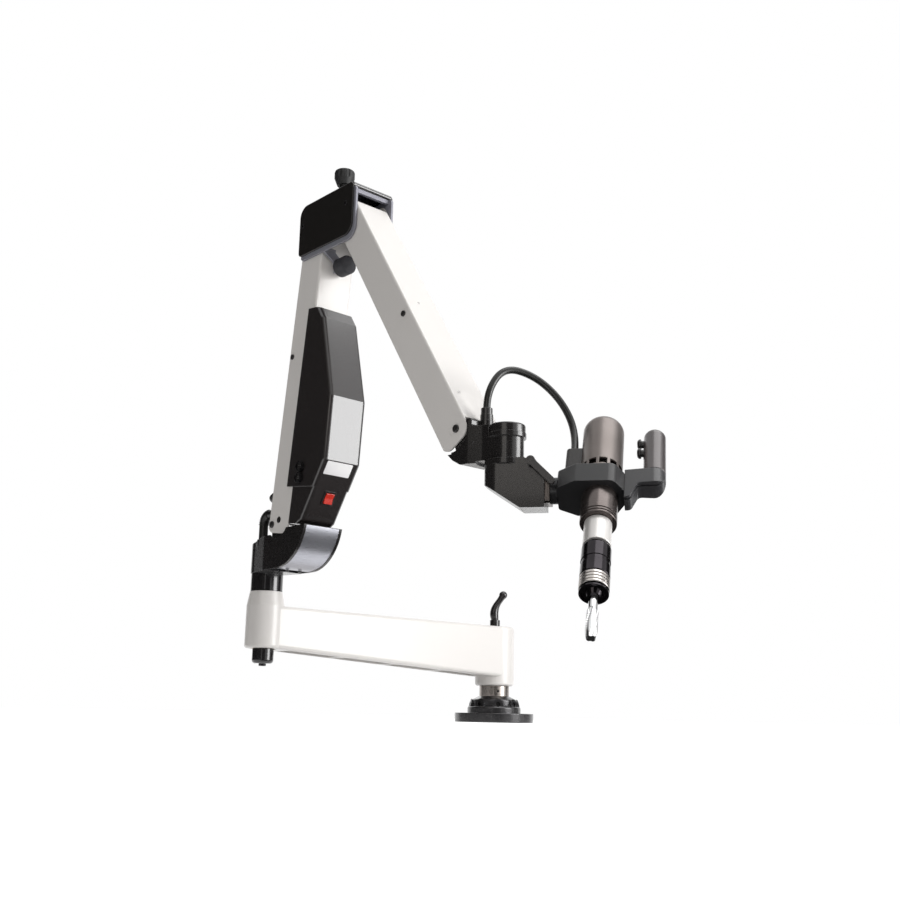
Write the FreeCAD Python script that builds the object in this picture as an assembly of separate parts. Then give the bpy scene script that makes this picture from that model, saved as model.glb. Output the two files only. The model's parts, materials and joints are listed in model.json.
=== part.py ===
import FreeCAD, Part
import math
import os

# Balanced tapping arm for a workbench, millimetres, +Z up.
# The origin is the centre of the base flange where it stands on the table.
# The swing arm runs along -X to the post, and both upper arms reach forward, along -Y.

Vector = FreeCAD.Vector
Placement = FreeCAD.Placement
Rotation = FreeCAD.Rotation

# Fits and gaps
running_gap = 0.05
body_gap = 0.4
cut_over = 5.0

# Pose at rest, degrees
lower_lean = 7.0
upper_drop = 57.0
wrist_turn = 35.5
head_tilt = 37.0

# Base flange, hub and column
flange_radius = 82.0
flange_thickness = 18.5
flange_edge_radius = 1.5
bolt_circle_radius = 68.0
bolt_hole_radius = 4.5
bolt_hole_count = 4
hub_foot_radius = 55.5
hub_foot_height = 12.0
hub_shoulder_radius = 47.0
hub_shoulder_height = 27.0
hub_top_radius = 33.0
hub_height = 34.0
hub_corner_radius = 4.0
lug_count = 8
lug_radius = 11.0
lug_reach = 51.0
lug_rise = 18.2
lug_slope = 14.0
lug_first_angle = 235.0
lug_socket_radius = 5.0
lug_socket_depth = 13.0
column_radius = 22.0
collar_radius = 31.0
collar_height = 21.5
collar_hole_radius = 2.5
collar_hole_angle = 240.0
collar_chamfer_radius = 1.0

# Swing arm
swing_length = 575.0
swing_top = 196.0
swing_base_radius = 40.5
swing_edge_radius = 7.0
swing_post_bottom = 121.0
swing_base_bottom = 91.0
swing_post_half = 31.0
swing_base_half = 38.0
post_boss_top = 221.0
post_boss_top_radius = 29.0
post_boss_foot_radius = 33.5
boss_corner_radius = 5.0
bush_wall = 5.0
pocket_count = 4
pocket_rib = 8.0
pocket_roof = 9.0
pocket_half = 22.0
pocket_corner_radius = 8.0
clamp_slot_half = 1.5

# Clamp lever on the column
clamp_foot_radius = 10.5
clamp_foot_height = 15.0
clamp_stud_radius = 5.0
clamp_stud_length = 30.0
clamp_lever_height = 58.0
clamp_lever_radius = 8.4
clamp_lever_lean = 17.0
clamp_lever_heading = -42.0
clamp_height_shares = (0.0, 0.22, 0.5, 0.75, 0.93)
clamp_lean_shares = (0.0, -0.1, 0.08, 0.62, 1.0)
clamp_width_shares = (0.88, 1.06, 1.0, 0.97, 1.0)
clamp_tip_share = 1.03

# Post, sleeve and yoke
post_radius = 17.0
post_cap_radius = 19.0
post_cap_height = 26.0
post_cap_corner_radius = 6.0
sleeve_radius = 28.5
sleeve_length = 32.1
lower_pivot_reach = 82.5
yoke_radius = 85.0
yoke_half = 39.6
yoke_plate = 2.4
yoke_rear_radius = 29.5
yoke_rear_height = 49.5
yoke_shoulder_height = 60.0
yoke_front_height = 68.5
yoke_shoulder_reach = 38.0
yoke_block_reach = 45.0
yoke_floor = 4.0
yoke_blend_radius = 20.0
yoke_round_share = 0.98
strip_thickness = 2.2
strip_inset = 0.8
strip_half = 34.5
hose_radius = 8.0
hose_wall = 2.0
hose_bend_radius = 18.0
hose_offset = 23.0
hose_post_reach = 15.0
hose_tube_rise = 13.0
hose_rib_height = 1.2
hose_rib_count = 9
hose_boss_wall = 2.5
hose_boss_height = 4.0

# Arm tubes, shared by both arms
arm_length = 530.0
tube_half = 36.5
tube_half_depth = 31.0
tube_wall = 3.0
tube_corner_radius = 4.0
tongue_reach = 23.5
tongue_corner_radius = 18.0
wall_setback = 2.0
pin_radius = 6.0
tie_pin_radius = 4.0
tie_offset = 17.0
upper_tie_angle = 45.0
lug_inner = 24.0
lug_thickness = 8.3
lug_margin = 8.0
tie_rod_radius = 5.0
tie_eye_radius = 7.5
tie_rod_place = 15.0
tie_eye_half = 5.0
spring_radius = 11.0
spring_rod_radius = 4.0
spring_place = 9.0
spring_start = 150.0
spring_rod_start = 48.0
spring_anchor_back = 62.0
spring_anchor_radius = 5.0
spring_setback = 6.0

# Controller on the lower arm, stations from the foot up: distance along the arm, front, half width
controller_half = 39.0
controller_foot_half = 36.5
controller_skirt_back = 15.5
controller_foot_along = -6.0
controller_foot_front = 58.0
controller_heel_along = 1.0
controller_heel_front = 69.0
controller_skirt_along = 58.0
controller_chin_along = 104.0
controller_chin_front = 119.0
controller_brow_along = 215.0
controller_brow_front = 114.5
controller_crown_front = 63.0
controller_crown_drop = 20.0
controller_top_back = 152.0
controller_top_front = 46.0
controller_edge_radius = 8.0
controller_back_radius = 1.0
controller_wall = 2.6
controller_inset = 3.2
board_thickness = 1.6
board_half = 28.0
board_front = 40.0
board_low = 130.0
board_high = 250.0
supply_half = 26.0
supply_depth = 34.0
supply_low = 34.0
supply_high = 106.0
standoff_radius = 3.0
socket_radius = 7.5
socket_height = 4.0
socket_bore_radius = 4.5
socket_front = 54.0
socket_first_along = 72.0
socket_pitch = 20.0
bezel_half_width = 12.0
bezel_half_length = 13.0
bezel_lip = 1.6
bezel_depth = 9.0
bezel_border = 2.6
bezel_share = 0.4
bezel_corner_radius = 2.0
rocker_gap = 1.0
rocker_rise = 3.2
rocker_hinge_radius = 1.5
rocker_hinge_depth = 5.0
rocker_swing = 6.0
inlet_radius = 10.0
inlet_nut_radius = 8.0
inlet_height = 20.0
inlet_nut_height = 9.0
inlet_along = 40.0
inlet_round_share = 0.6

# Elbow
elbow_reach = 92.5
elbow_side_gap = 0.7
cheek_thickness = 4.3
cheek_rear = 32.0
cheek_front = 34.5
cheek_top = 40.5
core_top = 44.0
cheek_bottom = 55.0
cheek_small_radius = 6.0
cheek_rear_radius = 15.0
cheek_large_radius = 24.0
cover_gap = 0.1
cover_thickness = 3.2
cover_rear = 37.0
cover_front = 29.0
cover_top = 50.0
cover_bottom = 47.0
cover_small_radius = 8.0
cover_large_radius = 21.0
cover_edge_radius = 1.5
band_nose = 9.0
band_nose_share = 0.48
band_roof = 4.5
band_shoulder = 16.0
band_apron = 8.0
apron_depth = 7.5
apron_thickness = 6.5
apron_setback = 3.0
core_web = 5.5
core_bridge = 14.0
core_neck_drop = 17.0
core_neck_reach = 12.0
core_round_radius = 12.0
core_small_radius = 5.0
core_hook_shares = (0.9, 0.95, 0.9)
bracket_foot_reach = 29.0
bracket_foot_depth = 5.0
bracket_foot_inner = 12.0
bracket_foot_drop = 50.0
bracket_head_half = 12.0
bumper_drop = 75.0
bumper_radius = 17.0
bumper_length = 25.0
bumper_corner_radius = 3.0
knob_forward = 34.0
knob_radius = 18.5
knob_neck_radius = 13.0
knob_stem_radius = 8.5
knob_height = 63.5
knob_band_height = 14.5
knob_taper_height = 14.0
knob_corner_radius = 4.0
knob_screw_radius = 3.0
knob_flute_count = 7
knob_flute_radius = 4.0
knob_flute_depth = 1.6

# Wrist bracket and swivel
wrist_reach = 79.5
bracket_chin_rear = 8.0
bracket_chin_top = 35.0
bracket_chin_reach = 3.0
bracket_chin_depth = 45.0
bracket_floor_reach = 20.0
bracket_floor = 54.0
bracket_half = 36.5
bracket_top = 2.0
bracket_wall_reach = 39.0
bracket_wall_top = 13.5
bracket_wall_radius = 3.0
bracket_corner_radius = 10.0
swivel_radius = 24.2
swivel_bottom = 51.0
swivel_height = 32.4
cap_radius = 26.5
cap_height = 22.0
cap_corner_radius = 3.0
cap_lip_radius = 27.6
cap_lip_height = 7.0
cap_crown_height = 2.5
swivel_shaft_radius = 12.0
swivel_floor = 5.0
gland_reach = 42.5
gland_side = 6.0
gland_boss_radius = 10.0
gland_radius = 9.5
gland_boss_top = 13.5
gland_top = 33.0
gland_nut_height = 9.0
gland_collar_radius = 8.6
gland_edge_radius = 1.2
stem_hook_shares = (0.3, 0.6, 0.5, 0.2, 0.6)

# Wrist housing, measured from the tilt axis
tilt_drop = 45.6
housing_disc_radius = 28.6
housing_disc_height = 8.0
housing_half = 24.0
housing_side_depth = 9.0
housing_floor_reach = 22.0
housing_floor = 27.0
housing_face = 56.5
housing_face_top = 21.0
housing_back_reach = 32.0
housing_waist_reach = 32.5
housing_waist = 32.0
housing_ledge_reach = 45.5
housing_ledge = 28.5
housing_corner_radius = 5.0
housing_round_share = 0.9
neck_flange_half = 20.0
neck_flange_thickness = 7.0
neck_flange_radius = 4.0
tilt_shaft_radius = 10.0
tilt_shaft_length = 34.0
lock_reach = 39.0
lock_height = 37.5
lock_hub_radius = 6.5
lock_pin_radius = 3.5
lock_ear_thickness = 8.0
lock_clear = 7.0
lock_thickness = 7.0
lock_bar_half = 4.8
lock_round_share = 0.9
lock_bar_length = 46.0
lock_bar_slope = 45.0

# Head, measured from the spindle axis and up it
spindle_reach = 132.5
neck_radius = 19.0
wing_reach = 59.0
wing_half = 20.0
body_half = 33.0
body_right = 34.0
body_left = 33.0
body_top = 21.0
body_bottom = 17.0
body_corner_radius = 14.0
body_small_radius = 5.0
body_edge_radius = 2.5
body_taper_share = 0.6
body_nose_share = 0.4
motor_radius = 30.0
motor_height = 123.0
motor_round_radius = 22.0
motor_wall = 2.5
motor_core_radius = 24.0
motor_core_gap = 3.0
vent_count = 12
vent_height = 12.0
vent_rise = 4.0
vent_share = 0.72
vent_first_angle = -80.4
box_reach = 41.0
box_half = 10.5
box_height = 62.0
box_corner_radius = 5.0
box_round_radius = 4.0
box_root_share = 0.5
grip_reach = 74.5
grip_radius = 16.0
grip_top = 120.0
grip_round_radius = 13.0
grip_seam_radius = 1.0
handle_half = 13.0
handle_top = 27.0
handle_bottom = 2.0
handle_lobe_reach = 42.0
handle_lobe_drop = 29.0
handle_waist_reach = 52.0
handle_round_radius = 8.0
handle_corner_radius = 17.0
handle_groove_place = 8.0
handle_groove_half = 1.6
handle_groove_depth = 3.0
button_radius = 8.0
button_stem_radius = 5.5
button_head_height = 5.8
button_length = 16.0
button_proud = 9.0
button_gap = 0.1
button_heights = (77.0, 97.0)
button_round_radius = 4.5
button_rim_radius = 1.0
button_well_extra = 4.0
sleeve_bore_gap = 0.08
quill_radius = 25.4
quill_length = 53.0
quill_groove_depth = 1.2
quill_groove_height = 2.0
quill_groove_pitch = 5.0
quill_groove_count = 2
quill_groove_rise = 4.0
spindle_radius = 12.0
spindle_top = 8.0
collar_ring_radius = 19.0
collar_ring_length = 43.5
collar_ring_corner = 1.0
chuck_neck_radius = 15.5
chuck_neck_height = 5.5
chuck_radius = 20.0
chuck_waist_radius = 19.2
chuck_waist_height = 8.0
chuck_waist_rise = 20.0
chuck_length = 58.0
chuck_core_radius = 14.0
chuck_nose_radius = 19.5
chuck_nose_length = 2.5
chuck_recess_depth = 1.6
chuck_recess_shares = (0.84, 0.62)
chuck_cone_length = 5.0
chuck_cone_radius = 8.5
chuck_corner_radius = 1.5
release_length = 21.0
release_travel = 3.0
release_radius = 20.0
release_groove_count = 3
release_groove_depth = 1.0
release_groove_height = 2.2
tap_radius = 6.0
tap_length = 73.0
tap_seat = 18.0
tap_thread_radius = 7.6
tap_thread_length = 43.0
tap_lead_length = 8.0
tap_lead_radius = 6.2
tap_flute_count = 4
tap_flute_radius = 3.0
tap_flute_place = 7.6
tap_flute_twist = 80.0
tap_flute_steps = 6

# Conduit from the gland to the connector box, its middle corners chosen by hand
conduit_radius = 5.5
conduit_rise = 26.5
conduit_drop = 45.5
conduit_corners = [(-551.5, -577.0, 522.5), (-503.0, -595.5, 514.0), (-469.0, -618.5, 477.0)]

# Values worked out from the sizes above
column_top = swing_top - body_gap
collar_base = flange_thickness + hub_height
collar_top = collar_base + collar_height
swing_foot = collar_top + body_gap
post_x = -swing_length
yoke_bottom = post_boss_top + body_gap + sleeve_length
lower_pivot_height = yoke_bottom + yoke_radius
controller_top_along = arm_length - controller_top_back
controller_crown_along = controller_top_along - controller_crown_drop
motor_core_height = motor_height - motor_round_radius - motor_core_gap
housing_sweep = math.hypot(housing_waist_reach, housing_half) + swivel_floor
tube_inner = tube_half - tube_wall
tube_inner_depth = tube_half_depth - tube_wall
tube_sweep = math.hypot(tongue_reach - tongue_corner_radius, tube_half_depth - tongue_corner_radius)
tube_sweep = tube_sweep + tongue_corner_radius
lug_outer = lug_inner + lug_thickness
elbow_inner = tube_half + elbow_side_gap
elbow_outer = elbow_inner + cheek_thickness
cover_inner = elbow_outer + cover_gap
cover_outer = cover_inner + cover_thickness

lean = math.radians(lower_lean)
drop = math.radians(upper_drop)
lower_pivot = Vector(post_x, -lower_pivot_reach, lower_pivot_height)
lower_along = Vector(0, -math.sin(lean), math.cos(lean))
elbow_pivot = lower_pivot + lower_along * arm_length
upper_pivot = elbow_pivot + Vector(0, -elbow_reach, 0)
upper_along = Vector(0, -math.cos(drop), -math.sin(drop))
wrist_pivot = upper_pivot + upper_along * arm_length
swivel_point = wrist_pivot + Vector(0, -wrist_reach, 0)
tilt_point = swivel_point + Vector(0, 0, -swivel_bottom - tilt_drop)

X_AXIS = Vector(1, 0, 0)
Y_AXIS = Vector(0, 1, 0)
Z_AXIS = Vector(0, 0, 1)
FORWARD = Vector(0, -1, 0)
SIDE = (FORWARD, Z_AXIS, X_AXIS)
PLAN = (X_AXIS, Y_AXIS, Z_AXIS)
FACE = (X_AXIS, Z_AXIS, FORWARD)

# Where each body stands
row_place = Placement()
turret_place = Placement(Vector(post_x, 0, 0), Rotation())
lower_place = Placement(lower_pivot, Rotation(X_AXIS, lower_lean))
elbow_place = Placement(elbow_pivot, Rotation())
upper_place = Placement(upper_pivot, Rotation(X_AXIS, 90 + upper_drop))
wrist_place = Placement(wrist_pivot, Rotation())
housing_place = Placement(tilt_point, Rotation(Z_AXIS, wrist_turn - 90))
head_place = housing_place.multiply(Placement(Vector(spindle_reach, 0, 0), Rotation(X_AXIS, -head_tilt)))

spindle_axis = head_place.Rotation.multVec(Z_AXIS)
gland_point = wrist_pivot + Vector(-gland_side, -gland_reach, gland_top)
box_point = head_place.multVec(Vector(-box_reach, 0, body_top + box_height))

nodes = {}


def keep(name, shape, place=row_place):
    moved = shape.copy()
    moved.Placement = place.multiply(shape.Placement)
    nodes[name] = moved


def outline(corners, plane, height=0.0):
    # Closed wire through corners given as (across, up, radius), each rounded by its radius.
    across, up, normal = plane
    flat = [Vector(u, v, 0) for u, v, r in corners]
    spans = []
    for i, (u, v, radius) in enumerate(corners):
        corner = flat[i]
        if radius <= 0:
            spans.append((corner, None, corner))
            continue
        back = (flat[i - 1] - corner).normalize()
        ahead = (flat[(i + 1) % len(flat)] - corner).normalize()
        half = 0.5 * math.acos(max(-1.0, min(1.0, back.dot(ahead))))
        centre = corner + (back + ahead).normalize() * (radius / math.sin(half))
        middle = centre + (corner - centre).normalize() * radius
        reach = radius / math.tan(half)
        spans.append((corner + back * reach, middle, corner + ahead * reach))

    def lift(point):
        return across * point.x + up * point.y + normal * height

    edges = []
    for i, (start, middle, end) in enumerate(spans):
        if middle is not None:
            edges.append(Part.Arc(lift(start), lift(middle), lift(end)).toShape())
        following = spans[(i + 1) % len(spans)][0]
        if (following - end).Length > 1e-6:
            edges.append(Part.LineSegment(lift(end), lift(following)).toShape())
    return Part.Wire(edges)


def prism(corners, plane, low, high):
    # Solid over an outline, from one height to another along the plane's normal.
    face = Part.Face(outline(corners, plane, low))
    return face.extrude(plane[2] * (high - low))


def turned(corners):
    # Solid of revolution about Z from corners (radius, height, rounding).
    wire = outline(corners, (X_AXIS, Z_AXIS, Y_AXIS))
    return Part.Face(wire).revolve(Vector(0, 0, 0), Z_AXIS, 360)


def rod(radius, start, end):
    direction = end - start
    return Part.makeCylinder(radius, direction.Length, start, direction)


def block(low, high):
    size = high - low
    return Part.makeBox(size.x, size.y, size.z, low)


def around(shape, count, centre=Vector(0, 0, 0), axis=Z_AXIS, first=0.0):
    # Copies of one solid turned evenly about an axis.
    copies = []
    for i in range(count):
        copy = shape.copy()
        copy.rotate(centre, axis, first + 360.0 * i / count)
        copies.append(copy)
    return copies


def joined(first, others):
    return first.fuse(others).removeSplitter()


def make_base():
    flange = turned([(0, 0, 0), (flange_radius, 0, flange_edge_radius),
                     (flange_radius, flange_thickness, flange_edge_radius), (0, flange_thickness, 0)])
    hole = rod(bolt_hole_radius, Vector(bolt_circle_radius, 0, -cut_over),
               Vector(bolt_circle_radius, 0, flange_thickness + cut_over))
    keep("base_flange", flange.cut(around(hole, bolt_hole_count, first=180.0 / bolt_hole_count)))

    foot = flange_thickness
    hub = turned([(0, foot, 0), (hub_foot_radius, foot, 0),
                  (hub_foot_radius, foot + hub_foot_height, hub_corner_radius),
                  (hub_shoulder_radius, foot + hub_foot_height + hub_corner_radius, 0),
                  (hub_shoulder_radius, foot + hub_shoulder_height, hub_corner_radius),
                  (hub_top_radius, foot + hub_height, 0), (0, foot + hub_height, 0)])
    slope = math.radians(lug_slope)
    outward = Vector(math.cos(slope), 0, math.sin(slope))
    mouth = Vector(lug_reach, 0, foot + lug_rise)
    lug = rod(lug_radius, mouth - outward * (lug_reach - column_radius), mouth)
    socket = rod(lug_socket_radius, mouth - outward * lug_socket_depth, mouth + outward * cut_over)
    hub = joined(hub, around(lug, lug_count, first=lug_first_angle))
    hub = hub.cut(around(socket, lug_count, first=lug_first_angle))
    hub = hub.cut([rod(column_radius, Vector(0, 0, 0), Vector(0, 0, swing_top))])
    keep("base_hub", hub)

    stud_hole = rod(clamp_stud_radius + running_gap, Vector(0, 0, column_top - clamp_stud_length),
                    Vector(0, 0, column_top + cut_over))
    column = rod(column_radius, Vector(0, 0, flange_thickness), Vector(0, 0, column_top))
    keep("base_column", column.cut(stud_hole))

    collar = turned([(column_radius, collar_base, 0), (collar_radius, collar_base, collar_chamfer_radius),
                     (collar_radius, collar_top, collar_chamfer_radius), (column_radius, collar_top, 0)])
    heading = math.radians(collar_hole_angle)
    out = Vector(math.cos(heading), math.sin(heading), 0)
    middle = Vector(0, 0, collar_base + 0.5 * collar_height)
    hole = rod(collar_hole_radius, middle + out * column_radius, middle + out * (collar_radius + cut_over))
    keep("base_collar", collar.cut(hole))


def make_swing_arm():
    ends = []
    for x, half, low in ((post_x, swing_post_half, swing_post_bottom),
                         (0, swing_base_half, swing_base_bottom)):
        ends.append(outline([(-half, low, swing_edge_radius), (half, low, swing_edge_radius),
                             (half, swing_top, swing_edge_radius), (-half, swing_top, swing_edge_radius)],
                            (Y_AXIS, Z_AXIS, X_AXIS), x))
    beam = Part.makeLoft(ends, True, True)
    base_boss = turned([(0, swing_foot, 0), (swing_base_radius, swing_foot, boss_corner_radius),
                        (swing_base_radius, swing_top, boss_corner_radius), (0, swing_top, 0)])
    post_boss = turned([(0, swing_post_bottom, 0),
                        (post_boss_foot_radius, swing_post_bottom, boss_corner_radius),
                        (post_boss_foot_radius, swing_top, 0), (post_boss_top_radius, post_boss_top, 0),
                        (0, post_boss_top, 0)])
    post_boss.translate(Vector(post_x, 0, 0))
    arm = joined(beam, [base_boss, post_boss])

    start = post_x + post_boss_foot_radius + pocket_rib
    span = -swing_base_radius - pocket_rib - start
    pitch = (span + pocket_rib) / pocket_count
    for i in range(pocket_count):
        low = start + i * pitch
        high = low + pitch - pocket_rib
        corners = [(low, -pocket_half, pocket_corner_radius), (high, -pocket_half, pocket_corner_radius),
                   (high, pocket_half, pocket_corner_radius), (low, pocket_half, pocket_corner_radius)]
        arm = arm.cut(prism(corners, PLAN, 0, swing_top - pocket_roof))
    base_bore = column_radius + running_gap + bush_wall
    post_bore = post_radius + running_gap + bush_wall
    arm = arm.cut([rod(base_bore, Vector(0, 0, 0), Vector(0, 0, swing_top + cut_over)),
                   rod(post_bore, Vector(post_x, 0, 0), Vector(post_x, 0, post_boss_top + cut_over)),
                   block(Vector(base_bore - bush_wall, -clamp_slot_half, 0),
                         Vector(swing_base_radius + cut_over, clamp_slot_half, swing_top + cut_over))])
    keep("swing_arm", arm)

    ring = turned([(column_radius + running_gap, swing_foot, 0), (base_bore, swing_foot, 0),
                   (base_bore, swing_top, 0), (column_radius + running_gap, swing_top, 0)])
    keep("swing_base_bush", ring)
    ring = turned([(post_radius + running_gap, swing_post_bottom, 0), (post_bore, swing_post_bottom, 0),
                   (post_bore, post_boss_top, 0), (post_radius + running_gap, post_boss_top, 0)])
    keep("swing_post_bush", ring, turret_place)


def make_clamp_lever():
    foot = swing_top
    hub = rod(clamp_foot_radius, Vector(0, 0, foot), Vector(0, 0, foot + clamp_foot_height))
    stud = rod(clamp_stud_radius, Vector(0, 0, column_top - clamp_stud_length + body_gap),
               Vector(0, 0, foot + clamp_foot_height))
    heading = math.radians(clamp_lever_heading)
    out = Vector(math.cos(heading), math.sin(heading), 0)
    rings = []
    for rise, sway, width in zip(clamp_height_shares, clamp_lean_shares, clamp_width_shares):
        centre = Vector(0, 0, foot + clamp_foot_height - body_gap + clamp_lever_height * rise)
        centre = centre + out * (clamp_lever_lean * sway)
        rings.append(Part.Wire(Part.makeCircle(clamp_lever_radius * width, centre, Z_AXIS)))
    handle = Part.makeLoft(rings, True, False)
    tip = Part.makeSphere(clamp_lever_radius * clamp_tip_share, centre)
    keep("clamp_lever", joined(hub, [stud, handle, tip]))


def lug_pair(corners):
    # Two like lugs either side of the arm's middle plane.
    right = prism(corners, SIDE, lug_inner, lug_outer)
    left = prism(corners, SIDE, -lug_outer, -lug_inner)
    return [right, left]


def cross_pin(radius, half_length, forward, height):
    return rod(radius, Vector(-half_length, -forward, height), Vector(half_length, -forward, height))


def make_turret():
    cap_base = swing_post_bottom - body_gap - post_cap_height
    cap_top = swing_post_bottom - body_gap
    post = turned([(0, cap_base, 0), (post_cap_radius, cap_base, post_cap_corner_radius),
                   (post_cap_radius, cap_top, 0), (post_radius, cap_top, 0),
                   (post_radius, yoke_bottom + yoke_rear_height - yoke_floor, 0),
                   (0, yoke_bottom + yoke_rear_height - yoke_floor, 0)])
    keep("post_shaft", post, turret_place)
    sleeve_base = post_boss_top + body_gap
    sleeve = turned([(post_radius, sleeve_base, 0), (sleeve_radius, sleeve_base, 0),
                     (sleeve_radius, yoke_bottom, 0), (post_radius, yoke_bottom, 0)])
    keep("post_sleeve", sleeve, turret_place)

    reach = lower_pivot_reach
    height = lower_pivot_height
    front = reach + yoke_radius
    side = prism([(-yoke_rear_radius, yoke_bottom, 0), (front, yoke_bottom, 0),
                  (front, yoke_bottom + yoke_front_height, 0), (reach, yoke_bottom + yoke_front_height, 0),
                  (reach, yoke_bottom + yoke_shoulder_height, 0),
                  (yoke_shoulder_reach, yoke_bottom + yoke_shoulder_height, 0),
                  (-yoke_rear_radius, yoke_bottom + yoke_rear_height, 0)], SIDE, -yoke_half, yoke_half)
    rear = yoke_rear_radius
    plan = prism([(yoke_half, -front, 0), (yoke_half, -yoke_block_reach, yoke_blend_radius),
                  (rear, 0, yoke_blend_radius), (rear, rear, rear * yoke_round_share),
                  (-rear, rear, rear * yoke_round_share),
                  (-rear, 0, yoke_blend_radius), (-yoke_half, -yoke_block_reach, yoke_blend_radius),
                  (-yoke_half, -front, 0)], PLAN, yoke_bottom, yoke_bottom + yoke_radius)
    yoke = side.common(plan)
    pivot = Vector(0, -reach, height)
    drum = cross_pin(yoke_radius, yoke_half + cut_over, reach, height)
    beyond = block(Vector(-yoke_half - cut_over, -front - cut_over, yoke_bottom - cut_over),
                   Vector(yoke_half + cut_over, -reach, height))
    yoke = yoke.cut(beyond.cut(drum))
    inner = yoke_half - yoke_plate
    hollow = cross_pin(yoke_radius - yoke_floor, inner, reach, height)
    ahead = block(Vector(-inner, -front, yoke_bottom),
                  Vector(inner, -yoke_block_reach, height + yoke_radius))
    yoke = yoke.cut(hollow.common(ahead))
    yoke = yoke.cut(cross_pin(tube_sweep + body_gap, yoke_half + cut_over, reach, height))
    yoke = yoke.cut(rod(post_radius, Vector(0, 0, 0),
                        Vector(0, 0, yoke_bottom + yoke_rear_height - yoke_floor)))
    lugs = lug_pair([(reach - tie_offset - lug_margin, yoke_bottom + 0.5 * yoke_floor, 0),
                     (reach + core_round_radius, yoke_bottom + 0.5 * yoke_floor, 0),
                     (reach + core_round_radius, height + core_round_radius, core_round_radius),
                     (reach - tie_offset - lug_margin, height + core_round_radius, core_round_radius)])
    boss_base = yoke_bottom + yoke_rear_height - yoke_floor
    boss_top = yoke_bottom + yoke_rear_height + 2 * hose_boss_height
    socket = Vector(-hose_offset, -hose_post_reach, boss_base)
    boss = rod(hose_radius + hose_boss_wall, socket, Vector(socket.x, socket.y, boss_top))
    yoke = joined(yoke, lugs + [boss])

    outer = yoke_radius - strip_inset
    ring = cross_pin(outer, strip_half, reach, height).cut(
        cross_pin(outer - strip_thickness, strip_half, reach, height))
    window = block(Vector(-yoke_half, -front, yoke_bottom - cut_over),
                   Vector(yoke_half, -reach + strip_half, yoke_bottom + yoke_front_height - strip_inset))
    strip = ring.common(window)
    groove = cross_pin(yoke_radius + cut_over, strip_half, reach, height).cut(
        cross_pin(outer - strip_thickness, strip_half, reach, height)).common(window)
    pin_holes = [cross_pin(pin_radius, lug_outer + cut_over, reach, height),
                 cross_pin(tie_pin_radius, lug_outer, reach - tie_offset, height)]
    yoke = yoke.cut([groove] + pin_holes)
    keep("yoke", yoke, turret_place)
    keep("yoke_strip", strip, turret_place)
    pins = [cross_pin(pin_radius, tube_half, reach, height),
            cross_pin(tie_pin_radius, lug_outer, reach - tie_offset, height)]
    keep("lower_pins", Part.makeCompound(pins), turret_place)

    # Ribbed elbow hose from the yoke up and into the back of the tube
    start = Vector(-hose_offset, -hose_post_reach, boss_top)
    root = Vector(-hose_offset, tube_half_depth, hose_tube_rise)
    end = turret_place.inverse().multVec(lower_place.multVec(root))
    bend = Vector(start.x, start.y, end.z)
    hose = hose_elbow(start, bend, end - Y_AXIS * 2 * hose_wall)
    tube = placed(block(Vector(-tube_half, -tube_half_depth, -tongue_reach),
                        Vector(tube_half, tube_half_depth, arm_length)), lower_place)
    keep("rear_hose", hose.cut(placed(tube, turret_place.inverse())), turret_place)


def hose_elbow(start, bend, end):
    radius = hose_bend_radius
    back = (start - bend).normalize()
    ahead = (end - bend).normalize()
    first = bend + back * radius
    last = bend + ahead * radius
    centre = first + ahead * radius
    middle = centre + (bend - centre).normalize() * radius
    path = Part.Wire([Part.LineSegment(start, first).toShape(), Part.Arc(first, middle, last).toShape(),
                      Part.LineSegment(last, end).toShape()])
    outer = Part.Wire(Part.makeCircle(hose_radius, start, back * -1))
    inner = Part.Wire(Part.makeCircle(hose_radius - hose_wall, start, back * -1))
    tube = path.makePipeShell([outer], True, False).cut(path.makePipeShell([inner], True, False))
    ribs = []
    for i in range(hose_rib_count):
        turn = math.pi * 0.5 * (i + 0.5) / hose_rib_count
        spot = centre + (first - centre) * math.cos(turn) + (last - centre) * math.sin(turn)
        heading = (last - centre) * math.cos(turn) - (first - centre) * math.sin(turn)
        width = 0.5 * radius * math.pi * 0.5 / hose_rib_count
        rib = Part.makeCylinder(hose_radius + hose_rib_height, width,
                                spot - heading.normalize() * 0.5 * width, heading)
        bore = Part.makeCylinder(hose_radius - 0.5 * hose_wall, width + 2 * cut_over,
                                 spot - heading * (0.5 * width + cut_over), heading)
        ribs.append(rib.cut(bore))
    return tube.fuse(ribs)


def arm_tube():
    # Square tube with side tongues past both pivots and pin holes through them.
    def section(half, depth, radius):
        return [(half, depth, radius), (-half, depth, radius),
                (-half, -depth, radius), (half, -depth, radius)]

    low = -tongue_reach
    high = arm_length + tongue_reach
    outer = prism(section(tube_half, tube_half_depth, tube_corner_radius), PLAN, low, high)
    inner = prism(section(tube_inner, tube_inner_depth, tube_corner_radius - tube_wall), PLAN,
                  low - cut_over, high + cut_over)
    tube = outer.cut(inner)
    depth = tube_half_depth
    shape = prism([(depth, low, tongue_corner_radius), (depth, high, tongue_corner_radius),
                   (-depth, high, tongue_corner_radius), (-depth, low, tongue_corner_radius)],
                  SIDE, -tube_half, tube_half)
    tube = tube.common(shape)
    over = tube_half_depth + cut_over
    tube = tube.cut([block(Vector(-tube_inner, -over, low - cut_over),
                           Vector(tube_inner, over, wall_setback)),
                     block(Vector(-tube_inner, -over, arm_length - wall_setback),
                           Vector(tube_inner, over, high + cut_over)),
                     cross_pin(pin_radius + running_gap, tube_half + cut_over, 0, 0),
                     cross_pin(pin_radius + running_gap, tube_half + cut_over, 0, arm_length)])
    return tube


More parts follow.
